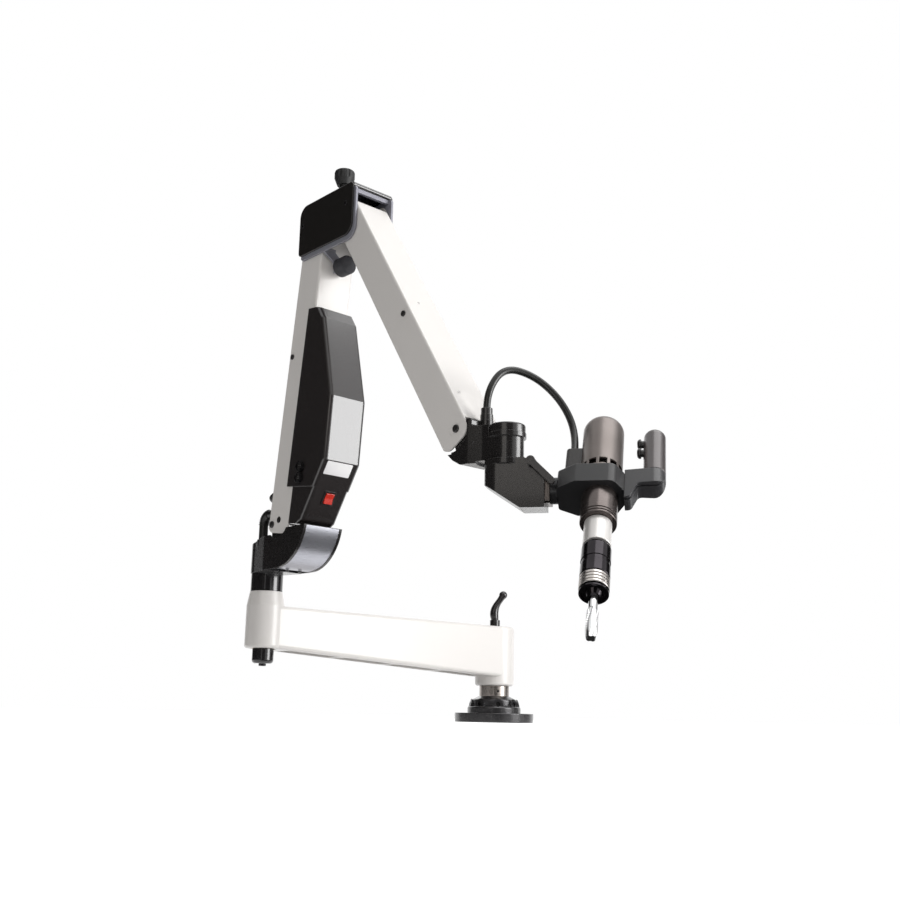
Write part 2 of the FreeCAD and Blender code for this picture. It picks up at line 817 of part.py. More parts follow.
def gas_spring():
    # Cylinder and rod on a cross pin, in the arm's own frame.
    anchor = arm_length - spring_anchor_back
    place = -spring_place
    front = -spring_setback
    body = rod(spring_radius, Vector(place, front, spring_start),
               Vector(place, front, anchor - spring_radius))
    piston = rod(spring_rod_radius, Vector(place, front, spring_rod_start),
                 Vector(place, front, spring_start))
    neck = rod(spring_rod_radius, Vector(place, front, anchor - spring_radius), Vector(place, front, anchor))
    eye = rod(spring_anchor_radius + tube_wall, Vector(place - tie_eye_half, front, anchor),
              Vector(place + tie_eye_half, front, anchor))
    foot = rod(spring_anchor_radius + tube_wall, Vector(place - tie_eye_half, front, spring_rod_start),
               Vector(place + tie_eye_half, front, spring_rod_start))
    pin = rod(spring_anchor_radius, Vector(-tube_inner, front, anchor), Vector(tube_inner, front, anchor))
    foot_hole = rod(tie_pin_radius, Vector(place - cut_over - tie_eye_half, front, spring_rod_start),
                    Vector(place + cut_over + tie_eye_half, front, spring_rod_start))
    return joined(body, [piston, neck, eye, foot, pin]).cut(foot_hole)


def tie_rod(start, end):
    # Rod with an eye at each end, between two tie pins given at the middle plane.
    side = Vector(tie_rod_place, 0, 0)
    half = Vector(tie_eye_half, 0, 0)
    shank = rod(tie_rod_radius - running_gap, start + side, end + side)
    eyes = []
    holes = []
    for spot in (start, end):
        eyes.append(rod(tie_eye_radius, spot + side - half, spot + side + half))
        holes.append(rod(tie_pin_radius + running_gap, spot + side - half * 2, spot + side + half * 2))
    return joined(shank, eyes).cut(holes)


def controller_section(along, front, half, back):
    corners = [(-half, back, controller_back_radius), (half, back, controller_back_radius),
               (half, front, controller_edge_radius), (-half, front, controller_edge_radius)]
    return outline(corners, (X_AXIS, FORWARD, Z_AXIS), along)


def controller_front(along):
    # Front of the lower facet at a distance along the arm.
    share = (along - controller_heel_along) / (controller_chin_along - controller_heel_along)
    return controller_heel_front + share * (controller_chin_front - controller_heel_front)


def make_controller():
    skirt = controller_skirt_along
    foot = [(controller_foot_along, controller_foot_front), (controller_heel_along, controller_heel_front),
            (skirt, controller_front(skirt))]
    crown = [(controller_chin_along, controller_chin_front), (controller_brow_along, controller_brow_front),
             (controller_crown_along, controller_crown_front), (controller_top_along, controller_top_front)]
    lower = [controller_section(along, front, controller_foot_half, controller_skirt_back)
             for along, front in foot]
    upper = [controller_section(along, front, controller_half, controller_skirt_back)
             for along, front in foot[-1:] + crown]
    shell = Part.makeLoft(lower, True, True).fuse(Part.makeLoft(upper, True, True))
    wall = controller_wall
    foot[0] = (controller_foot_along + wall, controller_foot_front)
    crown[-1] = (controller_top_along - wall, controller_top_front)
    inner = [controller_section(along, front - controller_inset, controller_foot_half - wall,
                                tube_inner_depth) for along, front in foot + crown]
    seat = block(Vector(-tube_half - body_gap, -tube_half_depth, controller_foot_along - cut_over),
                 Vector(tube_half + body_gap, tube_half_depth, controller_top_along + cut_over))
    shell = shell.cut([Part.makeLoft(inner, True, True), seat])
    face = tube_half_depth
    supply = block(Vector(-supply_half, -face - supply_depth, supply_low),
                   Vector(supply_half, -face, supply_high))
    keep("power_supply", supply, lower_place)
    front = face + board_front
    board = block(Vector(-board_half, -front - board_thickness, board_low),
                  Vector(board_half, -front, board_high))
    posts = []
    for side in (-board_half + 2 * standoff_radius, board_half - 2 * standoff_radius):
        for along in (board_low + 2 * standoff_radius, board_high - 2 * standoff_radius):
            posts.append(rod(standoff_radius, Vector(side, -face, along), Vector(side, -front, along)))
    keep("control_board", joined(board, posts), lower_place)

    frame = bezel_place()
    opening = rounded_block(bezel_half_width - bezel_border, bezel_half_length - bezel_border,
                            -bezel_depth, bezel_lip)
    rim = rounded_block(bezel_half_width, bezel_half_length, 0, bezel_lip).cut(opening)
    liner = rounded_block(bezel_half_width - bezel_border, bezel_half_length - bezel_border, -bezel_depth, 0)
    well = placed(liner, frame)
    keep("controller_housing", shell.cut(well), lower_place)
    keep("rocker_bezel", placed(rim, frame), lower_place)

    sockets = []
    for i in range(2):
        along = socket_first_along + i * socket_pitch
        start = Vector(-controller_half, -socket_front, along)
        body = rod(socket_radius, start, start + Vector(-socket_height, 0, 0))
        bore = rod(socket_bore_radius, start + Vector(-0.5 * socket_height, 0, 0),
                   start + Vector(-socket_height - cut_over, 0, 0))
        sockets.append(body.cut(bore))
    keep("panel_sockets", Part.makeCompound(sockets), lower_place)


def bezel_place():
    # Frame on the lower facet, x across, y up the facet, z out of it.
    along = controller_heel_along + bezel_share * (controller_chin_along - controller_heel_along)
    rise = controller_chin_along - controller_heel_along
    run = controller_chin_front - controller_heel_front
    slope = math.degrees(math.atan2(run, rise))
    return Placement(Vector(0, -controller_front(along), along), Rotation(X_AXIS, 90 + slope))


def placed(shape, place):
    moved = shape.copy()
    moved.Placement = place.multiply(shape.Placement)
    return moved


def rounded_block(half_width, half_length, low, high):
    radius = bezel_corner_radius
    return prism([(-half_width, -half_length, radius), (half_width, -half_length, radius),
                  (half_width, half_length, radius), (-half_width, half_length, radius)], PLAN, low, high)


def make_rocker():
    half_width = bezel_half_width - bezel_border - rocker_gap
    half_length = bezel_half_length - bezel_border - rocker_gap
    swing = math.tan(math.radians(rocker_swing)) * half_length
    low = -rocker_hinge_depth
    key = prism([(-half_length, low + swing, 0), (0, low, 0), (half_length, low + swing, 0),
                 (half_length, bezel_lip + 0.5 * rocker_rise, 0.5 * rocker_hinge_radius),
                 (0, bezel_lip + 0.5 * swing, 0),
                 (-half_length, bezel_lip + rocker_rise, 0.5 * rocker_hinge_radius)],
                (Y_AXIS, Z_AXIS, X_AXIS), -half_width, half_width)
    keep("rocker", placed(key, bezel_place()), lower_place)


def make_lower_arm():
    holes = []
    for along in (hose_tube_rise, inlet_along):
        start = Vector(-hose_offset, 0, along)
        holes.append(rod(hose_radius - hose_wall, start, start + Y_AXIS * (tube_half_depth + cut_over)))
    keep("lower_tube", arm_tube().cut(holes), lower_place)
    keep("lower_gas_spring", gas_spring(), lower_place)
    make_controller()
    nut = turned([(0, 0, 0), (inlet_radius, 0, 0), (inlet_radius, inlet_nut_height, 0),
                  (inlet_nut_radius, inlet_nut_height, 0),
                  (inlet_nut_radius, inlet_height, inlet_nut_radius * inlet_round_share),
                  (0, inlet_height, 0)])
    spot = Placement(Vector(-hose_offset, tube_half_depth, inlet_along), Rotation(Z_AXIS, Y_AXIS))
    keep("cable_inlet", placed(nut, spot), lower_place)


def make_lower_tie():
    start = lower_pivot + Vector(0, tie_offset, 0)
    end = elbow_pivot + Vector(0, tie_offset, 0)
    keep("lower_tie_rod", tie_rod(start, end))


def upper_tie_point(pivot):
    angle = math.radians(upper_tie_angle)
    return pivot + Vector(0, -tie_offset * math.cos(angle), tie_offset * math.sin(angle))


def make_upper_tie():
    keep("upper_tie_rod", tie_rod(upper_tie_point(upper_pivot), upper_tie_point(wrist_pivot)))


def make_elbow():
    make_elbow_covers()
    disc = core_round_radius
    margin = tie_offset + lug_margin
    neck = elbow_reach - core_neck_reach
    top_share, low_share, back_share = core_hook_shares
    core = [(-margin, -disc, disc), (-margin, core_top, core_small_radius),
            (neck - core_neck_drop, core_top, core_small_radius),
            (neck, core_top - core_neck_drop, core_small_radius),
            (elbow_reach + margin, core_top - core_neck_drop, margin * top_share),
            (elbow_reach + margin, -margin, margin * low_share),
            (elbow_reach - margin, -margin, margin * back_share),
            (elbow_reach - margin, core_bridge, core_small_radius),
            (margin, core_bridge, core_small_radius), (margin, -disc, disc)]
    rear = -cheek_rear
    front = elbow_reach + cheek_front
    cheek = [(rear, -cheek_bottom, cheek_small_radius), (front, -cheek_bottom, cheek_large_radius),
             (front, cheek_top, cheek_small_radius), (rear, cheek_top, cheek_rear_radius)]
    parts = lug_pair(core)
    parts.append(prism(cheek, SIDE, -elbow_outer, -elbow_inner))
    parts.append(prism(cheek, SIDE, elbow_inner, elbow_outer))
    parts.append(prism([(-margin + core_small_radius, core_top - core_web, 0),
                        (neck - core_neck_drop, core_top - core_web, 0),
                        (neck - core_neck_drop, core_top, 0),
                        (-margin + core_small_radius, core_top, 0)], SIDE, -elbow_outer, elbow_outer))
    apron = elbow_reach + cover_front - apron_setback
    inside = apron - apron_thickness
    hem = cheek_top - apron_depth
    parts.append(prism([(inside, hem, 0), (apron, hem, 0), (apron, cheek_top, 0), (inside, cheek_top, 0)],
                       SIDE, -elbow_outer, elbow_outer))

    # Bumper bracket, from the near cheek down and across to the middle
    near = bracket_foot_reach
    far = near + bracket_foot_depth
    head = -bracket_foot_drop + cheek_small_radius
    wide = bracket_head_half
    foot = -bumper_drop - wide
    rings = []
    for left, right, height in ((-elbow_outer, -bracket_foot_inner, head),
                                (-elbow_outer, -bracket_foot_inner, -bracket_foot_drop),
                                (-wide, wide, -bumper_drop + 0.5 * wide), (-wide, wide, foot)):
        rings.append(Part.makePolygon([Vector(left, -near, height), Vector(right, -near, height),
                                       Vector(right, -far, height), Vector(left, -far, height),
                                       Vector(left, -near, height)]))
    parts.append(Part.makeLoft(rings, True, True))
    knob_spot = Vector(0, -knob_forward, 0)
    lift = upper_tie_point(Vector(0, 0, 0))
    ties = [(-tie_offset, 0), (elbow_reach - lift.y, lift.z)]
    holes = [cross_pin(pin_radius, elbow_outer, 0, 0), cross_pin(pin_radius, elbow_outer, elbow_reach, 0),
             rod(knob_screw_radius + running_gap, knob_spot, knob_spot + Z_AXIS * (core_top + cut_over))]
    holes = holes + [cross_pin(tie_pin_radius, lug_outer, forward, height) for forward, height in ties]
    keep("elbow_core", joined(parts[0], parts[1:]).cut(holes), elbow_place)
    pins = [cross_pin(pin_radius, elbow_outer, 0, 0), cross_pin(pin_radius, elbow_outer, elbow_reach, 0)]
    keep("elbow_pins", Part.makeCompound(pins), elbow_place)
    pins = [cross_pin(tie_pin_radius, lug_outer, forward, height) for forward, height in ties]
    keep("elbow_tie_pins", Part.makeCompound(pins), elbow_place)
    bumper = turned([(0, 0, 0), (bumper_radius, 0, 0), (bumper_radius, bumper_length, bumper_corner_radius),
                     (0, bumper_length, 0)])
    spot = Placement(Vector(0, -far, -bumper_drop), Rotation(Z_AXIS, FORWARD))
    keep("bumper", placed(bumper, spot), elbow_place)


def make_elbow_covers():
    rear = -cover_rear
    front = elbow_reach + cover_front
    corners = [(rear, -cover_bottom, cover_small_radius), (front, -cover_bottom, cover_large_radius),
               (front, cover_top, cover_small_radius), (rear, cover_top, cover_large_radius)]
    for name, low, high in (("elbow_cover_left", -cover_outer, -cover_inner),
                            ("elbow_cover_right", cover_inner, cover_outer)):
        plate = prism(corners, SIDE, low, high)
        face_edges = [edge for edge in plate.Edges
                      if edge.BoundBox.XMax - edge.BoundBox.XMin < 1e-6
                      and abs(abs(edge.BoundBox.XMin) - cover_outer) < 1e-6]
        keep(name, plate.makeFillet(cover_edge_radius, face_edges), elbow_place)
    roof = cover_top - band_roof
    back = rear + band_roof
    band = prism([(rear, band_apron, 0), (rear, cover_top, cover_large_radius),
                  (front, cover_top, band_nose * band_nose_share),
                  (front, cover_top - band_nose, band_nose * band_nose_share),
                  (front - band_shoulder, cover_top - band_nose, 0), (front - band_shoulder, roof, 0),
                  (back, roof, cover_large_radius - band_roof), (back, band_apron, 0)],
                 SIDE, -cover_inner, cover_inner)
    knob_spot = Vector(0, -knob_forward, 0)
    screw_hole = rod(knob_screw_radius + running_gap, knob_spot, knob_spot + Z_AXIS * (cover_top + cut_over))
    keep("elbow_roof", band.cut(screw_hole), elbow_place)


def make_knob():
    foot = cover_top + body_gap
    top = foot + knob_height
    band = top - knob_band_height
    neck = band - knob_taper_height
    knob = turned([(0, foot, 0), (knob_stem_radius, foot, 0), (knob_stem_radius, neck, 0),
                   (knob_neck_radius, neck, 0), (knob_radius, band, 0),
                   (knob_radius, top, knob_corner_radius), (0, top, 0)])
    place = knob_radius + knob_flute_radius - knob_flute_depth
    flute = rod(knob_flute_radius, Vector(place, 0, neck), Vector(place, 0, top + cut_over))
    knob = knob.cut(around(flute, knob_flute_count))
    screw = rod(knob_screw_radius, Vector(0, 0, core_top - core_web), Vector(0, 0, neck))
    knob = joined(knob, [screw])
    keep("elbow_knob", placed(knob, Placement(Vector(0, -knob_forward, 0), Rotation())), elbow_place)


def make_upper_arm():
    keep("upper_tube", arm_tube(), upper_place)
    keep("upper_gas_spring", gas_spring(), upper_place)


def make_wrist():
    reach = wrist_reach
    side = prism([(-bracket_chin_rear, -bracket_chin_top, 0), (bracket_chin_reach, -bracket_chin_depth, 0),
                  (bracket_floor_reach, -bracket_floor, bracket_corner_radius), (reach, -bracket_floor, 0),
                  (reach, bracket_top, 0), (bracket_wall_reach, bracket_top, bracket_wall_radius),
                  (bracket_wall_reach, bracket_wall_top, bracket_wall_radius), (0, bracket_wall_top, 0),
                  (0, -bracket_chin_top, 0)], SIDE, -bracket_half, bracket_half)
    waist = reach - swivel_radius
    plan = prism([(bracket_half, bracket_chin_rear, 0), (bracket_half, -tube_sweep, bracket_corner_radius),
                  (swivel_radius, -waist, bracket_corner_radius), (swivel_radius, -reach, 0),
                  (-swivel_radius, -reach, 0), (-swivel_radius, -waist, bracket_corner_radius),
                  (-bracket_half, -tube_sweep, bracket_corner_radius),
                  (-bracket_half, bracket_chin_rear, 0)], PLAN, -bracket_floor, bracket_wall_top)
    arm = side.common(plan)
    arm = arm.cut(cross_pin(tube_sweep + body_gap, bracket_half + cut_over, 0, 0))
    stem = lug_pair([(0, -core_round_radius, 0), (tie_offset + lug_margin, -core_round_radius, 0),
                     (tube_sweep + bracket_corner_radius, -bracket_corner_radius - core_round_radius, 0),
                     (bracket_floor_reach + bracket_corner_radius, -bracket_chin_depth, 0),
                     (bracket_corner_radius, -bracket_chin_depth, 0)])
    disc = core_round_radius
    margin = tie_offset + lug_margin
    slim, wide, round_share, rear_share, heel_share = stem_hook_shares
    lugs = lug_pair([(-disc, -disc, disc), (margin - disc, -disc, 0), (margin, 0, 0),
                     (margin - slim * disc, margin - wide * disc, round_share * disc),
                     (rear_share * margin, margin - slim * disc, round_share * disc),
                     (-disc, disc, disc * heel_share)])
    cap_base = -swivel_bottom + swivel_height
    boss = rod(swivel_radius, Vector(0, -reach, -swivel_bottom), Vector(0, -reach, cap_base))
    gland_base = rod(gland_boss_radius, Vector(-gland_side, -gland_reach, -bracket_corner_radius),
                     Vector(-gland_side, -gland_reach, gland_boss_top))
    lift = upper_tie_point(Vector(0, 0, 0))
    body = joined(arm, stem + lugs + [boss, gland_base])
    floor_cut = rod(housing_sweep, Vector(0, -reach, -bracket_floor - cut_over),
                    Vector(0, -reach, -swivel_bottom))
    head_room = rod(cap_lip_radius, Vector(0, -reach, cap_base), Vector(0, -reach, bracket_top + cap_height))
    cuts = [cross_pin(pin_radius, lug_outer + cut_over, 0, 0),
            cross_pin(tie_pin_radius, lug_outer + cut_over, -lift.y, lift.z), floor_cut, head_room,
            rod(swivel_shaft_radius + running_gap, Vector(0, -reach, -bracket_floor - cut_over),
                Vector(0, -reach, cap_height))]
    keep("wrist_bracket", body.cut(cuts), wrist_place)
    pins = [cross_pin(pin_radius, tube_half, 0, 0), cross_pin(tie_pin_radius, lug_outer, -lift.y, lift.z)]
    keep("wrist_pins", Part.makeCompound(pins), wrist_place)

    cap_top = cap_base + cap_height
    lip_top = cap_base + cap_lip_height
    bore = swivel_shaft_radius + running_gap
    cap = turned([(0, cap_base + swivel_floor, 0), (bore, cap_base + swivel_floor, 0), (bore, cap_base, 0),
                  (cap_lip_radius, cap_base, 0), (cap_lip_radius, lip_top, 0), (cap_radius, lip_top, 0),
                  (cap_radius, cap_top - cap_crown_height, cap_corner_radius),
                  (0.5 * cap_radius, cap_top, cap_radius), (0, cap_top, 0)])
    keep("swivel_cap", placed(cap, Placement(Vector(0, -reach, 0), Rotation())), wrist_place)
    gland = turned([(0, gland_boss_top, 0), (gland_radius, gland_boss_top, 0),
                    (gland_radius, gland_boss_top + gland_nut_height, 0),
                    (gland_collar_radius, gland_boss_top + gland_nut_height, 0),
                    (gland_collar_radius, gland_top, gland_edge_radius), (0, gland_top, 0)])
    spot = Placement(Vector(-gland_side, -gland_reach, 0), Rotation())
    keep("conduit_gland", placed(gland, spot), wrist_place)


def make_wrist_housing():
    top = tilt_drop - body_gap
    back = -housing_back_reach
    half = housing_half
    profile = [(back, top, 0), (back, housing_side_depth, housing_corner_radius),
               (housing_floor_reach, -housing_floor, housing_corner_radius),
               (housing_face, -housing_floor, 0), (housing_face, housing_face_top, 0),
               (housing_ledge_reach, housing_ledge, housing_corner_radius),
               (housing_waist_reach, housing_waist, housing_corner_radius), (housing_disc_radius, top, 0)]
    body = prism(profile, FACE, -half, half)
    bend = half * housing_round_share
    plan = prism([(back, -half, bend), (housing_face, -half, 0), (housing_face, half, 0),
                  (back, half, bend)], PLAN, -housing_floor, top)
    ear = lock_hub_radius
    body = body.common(plan)
    lug = prism([(0, lock_height - ear, 0), (housing_waist_reach, housing_waist - ear, 0),
                 (lock_reach + ear, housing_waist - ear, 0), (lock_reach + ear, lock_height + ear, ear),
                 (housing_floor_reach, lock_height + ear, 0)], FACE, half - lock_ear_thickness, half)
    disc = rod(housing_disc_radius, Vector(0, 0, top - housing_disc_height), Vector(0, 0, top))
    shaft_top = tilt_drop + swivel_height + swivel_floor - body_gap
    shaft = rod(swivel_shaft_radius, Vector(0, 0, top), Vector(0, 0, shaft_top))
    bore = rod(tilt_shaft_radius + running_gap, Vector(housing_face - tilt_shaft_length, 0, 0),
               Vector(housing_face + cut_over, 0, 0))
    pin = rod(lock_pin_radius, Vector(lock_reach, -housing_half + cut_over, lock_height),
              Vector(lock_reach, -housing_half - lock_clear - lock_thickness, lock_height))
    body = joined(body, [disc, pin, lug]).cut(bore)
    keep("wrist_housing", body, housing_place)
    keep("swivel_shaft", shaft, housing_place)
    wide = neck_flange_half
    radius = neck_flange_radius
    flange = prism([(wide, wide, radius), (-wide, wide, radius),
                    (-wide, -wide, radius), (wide, -wide, radius)],
                   (Y_AXIS, Z_AXIS, X_AXIS), housing_face, housing_face + neck_flange_thickness)
    shaft_hole = rod(tilt_shaft_radius + running_gap, Vector(housing_face - cut_over, 0, 0),
                     Vector(housing_face + neck_flange_thickness + cut_over, 0, 0))
    keep("neck_flange", flange.cut(shaft_hole), housing_place)


def make_lock_lever():
    face = -housing_half - lock_clear
    back = face - lock_thickness
    hub = rod(lock_hub_radius, Vector(0, face, 0), Vector(0, back, 0))
    end_radius = lock_bar_half * lock_round_share
    bar = prism([(0, -lock_bar_half, 0), (lock_bar_length, -lock_bar_half, end_radius),
                 (lock_bar_length, lock_bar_half, end_radius), (0, lock_bar_half, 0)], FACE, -face, -back)
    bar.rotate(Vector(0, 0, 0), Y_AXIS, lock_bar_slope)
    hole = rod(lock_pin_radius + running_gap, Vector(0, face + cut_over, 0), Vector(0, back - cut_over, 0))
    lever = joined(hub, [bar]).cut(hole)
    lever.translate(Vector(lock_reach, 0, lock_height))
    keep("lock_lever", lever, housing_place)


def make_head():
    flange_end = housing_face + neck_flange_thickness - spindle_reach
    neck = rod(neck_radius, Vector(flange_end + body_gap, 0, 0), Vector(-wing_reach, 0, 0))
    shaft_start = housing_face - tilt_shaft_length + body_gap - spindle_reach
    shaft = rod(tilt_shaft_radius, Vector(shaft_start, 0, 0), Vector(flange_end + body_gap, 0, 0))
    keep("tilt_shaft", joined(neck, [shaft]), head_place)

    taper = body_taper_share * body_right
    nose = body_nose_share * body_half
    plan = [(-wing_reach, -wing_half, body_small_radius), (-body_left, -body_half, body_small_radius),
            (taper, -body_half, body_corner_radius), (body_right, -nose, body_small_radius),
            (body_right, nose, body_small_radius), (taper, body_half, body_corner_radius),
            (-body_left, body_half, body_small_radius), (-wing_reach, wing_half, body_small_radius)]
    casting = prism(plan, PLAN, -body_bottom, body_top)
    level_edges = [edge for edge in casting.Edges
                   if edge.BoundBox.ZMax - edge.BoundBox.ZMin < 1e-6 and edge.BoundBox.ZMin > 0]
    casting = casting.makeFillet(body_edge_radius, level_edges)
    bore = rod(spindle_radius + sleeve_bore_gap, Vector(0, 0, -body_bottom - cut_over),
               Vector(0, 0, spindle_top))
    keep("head_casting", casting.cut(bore), head_place)

    base = body_top
    can = turned([(0, base, 0), (motor_radius, base, 0),
                  (motor_radius, base + motor_height, motor_round_radius), (0, base + motor_height, 0)])
    inside = turned([(0, base, 0), (motor_radius - motor_wall, base, 0),
                     (motor_radius - motor_wall, base + motor_height - motor_wall,
                      motor_round_radius - motor_wall),
                     (0, base + motor_height - motor_wall, 0)])
    slot_half = math.pi * motor_radius / vent_count * vent_share
    slot = block(Vector(0, -slot_half, base + vent_rise), Vector(motor_radius + cut_over, slot_half,
                                                                 base + vent_rise + vent_height))
    can = can.cut(inside).cut(around(slot, vent_count, first=vent_first_angle))
    keep("motor_can", can, head_place)
    keep("motor_core", rod(motor_core_radius, Vector(0, 0, base), Vector(0, 0, base + motor_core_height)),
         head_place)

    half = box_half
    radius = box_corner_radius
    root = motor_radius * box_root_share
    box = prism([(-box_reach - half, -half, radius), (-root, -half, 0), (-root, half, 0),
                 (-box_reach - half, half, radius)],
                PLAN, base, base + box_height)
    top_edges = [edge for edge in box.Edges if edge.BoundBox.ZMin > base + box_height - 1e-6
                 and edge.BoundBox.XMin < -box_reach]
    box = box.makeFillet(box_round_radius, top_edges)
    box = box.cut(rod(motor_radius, Vector(0, 0, 0), Vector(0, 0, base + motor_height)))
    keep("connector_box", box, head_place)
    make_quill()
    make_handle()


def make_quill():
    top = -body_bottom
    low = top - quill_length
    quill = turned([(spindle_radius + sleeve_bore_gap, low, 0), (quill_radius, low, flange_edge_radius),
                    (quill_radius, top, 0), (spindle_radius + sleeve_bore_gap, top, 0)])
    for i in range(quill_groove_count):
        base = low + quill_groove_rise + i * quill_groove_pitch
        ring = turned([(quill_radius - quill_groove_depth, base, 0), (quill_radius + cut_over, base, 0),
                       (quill_radius + cut_over, base + quill_groove_height, 0),
                       (quill_radius - quill_groove_depth, base + quill_groove_height, 0)])
        quill = quill.cut(ring)
    keep("quill_sleeve", quill, head_place)


def handle_profile(inset):
    # Side outline of the handle arm, its underside raised and its lobe shortened by an inset.
    low = -handle_bottom + inset
    deep = -handle_lobe_drop + inset
    return [(body_right, handle_top, 0), (grip_reach + grip_radius, handle_top, 0),
            (grip_reach + grip_radius, low, handle_corner_radius - inset),
            (handle_waist_reach, low, handle_round_radius + inset),
            (handle_lobe_reach - inset, deep, handle_round_radius - inset), (body_right, deep, 0)]


def make_handle():
    # Plan outline widening from the casting to the round of the grip, tangent to it
    swing = math.asin((grip_radius - handle_half) / (grip_reach - body_right))
    touch = Vector(grip_reach - grip_radius * math.sin(swing), grip_radius * math.cos(swing), 0)
    tip = Vector(grip_reach + grip_radius, 0, 0)
    root = Vector(body_right, handle_half, 0)

    def across(point):
        return Vector(point.x, -point.y, 0)

    edges = [Part.LineSegment(root, touch).toShape(), Part.Arc(touch, tip, across(touch)).toShape(),
             Part.LineSegment(across(touch), across(root)).toShape(),
             Part.LineSegment(across(root), root).toShape()]
    plan = Part.Face(Part.Wire(edges)).extrude(Z_AXIS * (handle_top + handle_lobe_drop))
    plan.translate(Vector(0, 0, -handle_lobe_drop))
    front = handle_groove_place + handle_groove_half
    rear = handle_groove_place - handle_groove_half
    face = prism(handle_profile(0), FACE, front, grip_radius)
    groove = prism(handle_profile(handle_groove_depth), FACE, rear, front)
    back = prism(handle_profile(0), FACE, -grip_radius, rear)
    arm = joined(face, [groove, back]).common(plan)
    keep("handle_arm", arm, head_place)

    grip = turned([(0, handle_top, 0), (grip_radius - grip_seam_radius, handle_top, 0),
                   (grip_radius, handle_top + grip_seam_radius, 0),
                   (grip_radius, grip_top, grip_round_radius), (0, grip_top, 0)])
    grip.translate(Vector(grip_reach, 0, 0))
    wells = []
    face = grip_reach - grip_radius
    for height in button_heights:
        start = Vector(face - cut_over, 0, height)
        end = Vector(face - button_proud + button_length + button_well_extra, 0, height)
        wells.append(rod(button_stem_radius + button_gap, start, end))
    keep("grip", grip.cut(wells), head_place)


def make_buttons():
    face = grip_reach - grip_radius
    for name, height in zip(("button_reverse", "button_forward"), button_heights):
        brim = button_length - button_head_height
        shape = turned([(0, 0, 0), (button_stem_radius, 0, 0), (button_stem_radius, brim, 0),
                        (button_radius, brim, button_rim_radius),
                        (button_radius, button_length, button_round_radius), (0, button_length, 0)])
        foot = Vector(face - button_proud + button_length, 0, height)
        spot = Placement(foot, Rotation(Z_AXIS, X_AXIS * -1))
        keep(name, placed(shape, spot), head_place)


def make_spindle():
    low = -body_bottom - quill_length - body_gap
    shaft = rod(spindle_radius, Vector(0, 0, low), Vector(0, 0, spindle_top - body_gap))
    keep("drive_spindle", shaft, head_place)
    ring_low = low - collar_ring_length
    ring = turned([(0, ring_low, 0), (collar_ring_radius, ring_low, collar_ring_corner),
                   (collar_ring_radius, low, collar_ring_corner), (0, low, 0)])
    keep("spindle_collar", ring, head_place)
    chuck_low = ring_low - chuck_length
    waist = chuck_low + chuck_waist_rise
    nose_top = chuck_low - release_length - release_travel
    nose = nose_top - chuck_nose_length
    shoulder = ring_low - chuck_neck_height
    rim, inner = (share * chuck_nose_radius for share in chuck_recess_shares)
    chuck = turned([(0, ring_low, 0), (chuck_neck_radius, ring_low, 0), (chuck_neck_radius, shoulder, 0),
                    (chuck_radius, shoulder, chuck_corner_radius),
                    (chuck_radius, waist + chuck_waist_height, 0),
                    (chuck_waist_radius, waist + chuck_waist_height, 0),
                    (chuck_waist_radius, waist, 0), (chuck_radius, waist, 0),
                    (chuck_radius, chuck_low, chuck_corner_radius), (chuck_core_radius, chuck_low, 0),
                    (chuck_core_radius, nose_top, 0), (chuck_nose_radius, nose_top, 0),
                    (chuck_nose_radius, nose, 0), (rim, nose, 0), (rim, nose + chuck_recess_depth, 0),
                    (inner, nose + chuck_recess_depth, 0), (chuck_cone_radius, nose - chuck_cone_length, 0),
                    (0, nose - chuck_cone_length, 0)])
    seat = rod(tap_radius, Vector(0, 0, nose - chuck_cone_length - cut_over), Vector(0, 0, nose + tap_seat))
    keep("chuck_body", chuck.cut(seat), head_place)

    ring_top = chuck_low - body_gap
    release = turned([(chuck_core_radius + running_gap, ring_top - release_length + body_gap, 0),
                      (release_radius, ring_top - release_length + body_gap, chuck_corner_radius),
                      (release_radius, ring_top, chuck_corner_radius),
                      (chuck_core_radius + running_gap, ring_top, 0)])
    pitch = release_length / (release_groove_count + 1)
    for i in range(release_groove_count):
        base = ring_top - (i + 1) * pitch - 0.5 * release_groove_height
        brim = base + release_groove_height
        release = release.cut(turned([(release_radius - release_groove_depth, base, 0),
                                      (release_radius + cut_over, base, 0),
                                      (release_radius + cut_over, brim, 0),
                                      (release_radius - release_groove_depth, brim, 0)]))
    keep("release_ring", release, head_place)
    make_tap(nose)


def make_tap(nose):
    tip = nose - tap_length
    thread_top = tip + tap_thread_length
    blank = turned([(0, nose + tap_seat, 0), (tap_radius, nose + tap_seat, 0), (tap_radius, thread_top, 0),
                    (tap_thread_radius, thread_top, 0), (tap_thread_radius, tip + tap_lead_length, 0),
                    (tap_lead_radius, tip, 0), (0, tip, 0)])
    flutes = []
    for i in range(tap_flute_count):
        rings = []
        for step in range(tap_flute_steps + 1):
            share = step / tap_flute_steps
            turn = math.radians(360.0 * i / tap_flute_count + tap_flute_twist * share)
            height = tip - cut_over + share * (tap_thread_length + 2 * cut_over)
            centre = Vector(tap_flute_place * math.cos(turn), tap_flute_place * math.sin(turn), height)
            rings.append(Part.Wire(Part.makeCircle(tap_flute_radius, centre, Z_AXIS)))
        flutes.append(Part.makeLoft(rings, True, False))
    keep("tap", blank.cut(flutes), head_place)


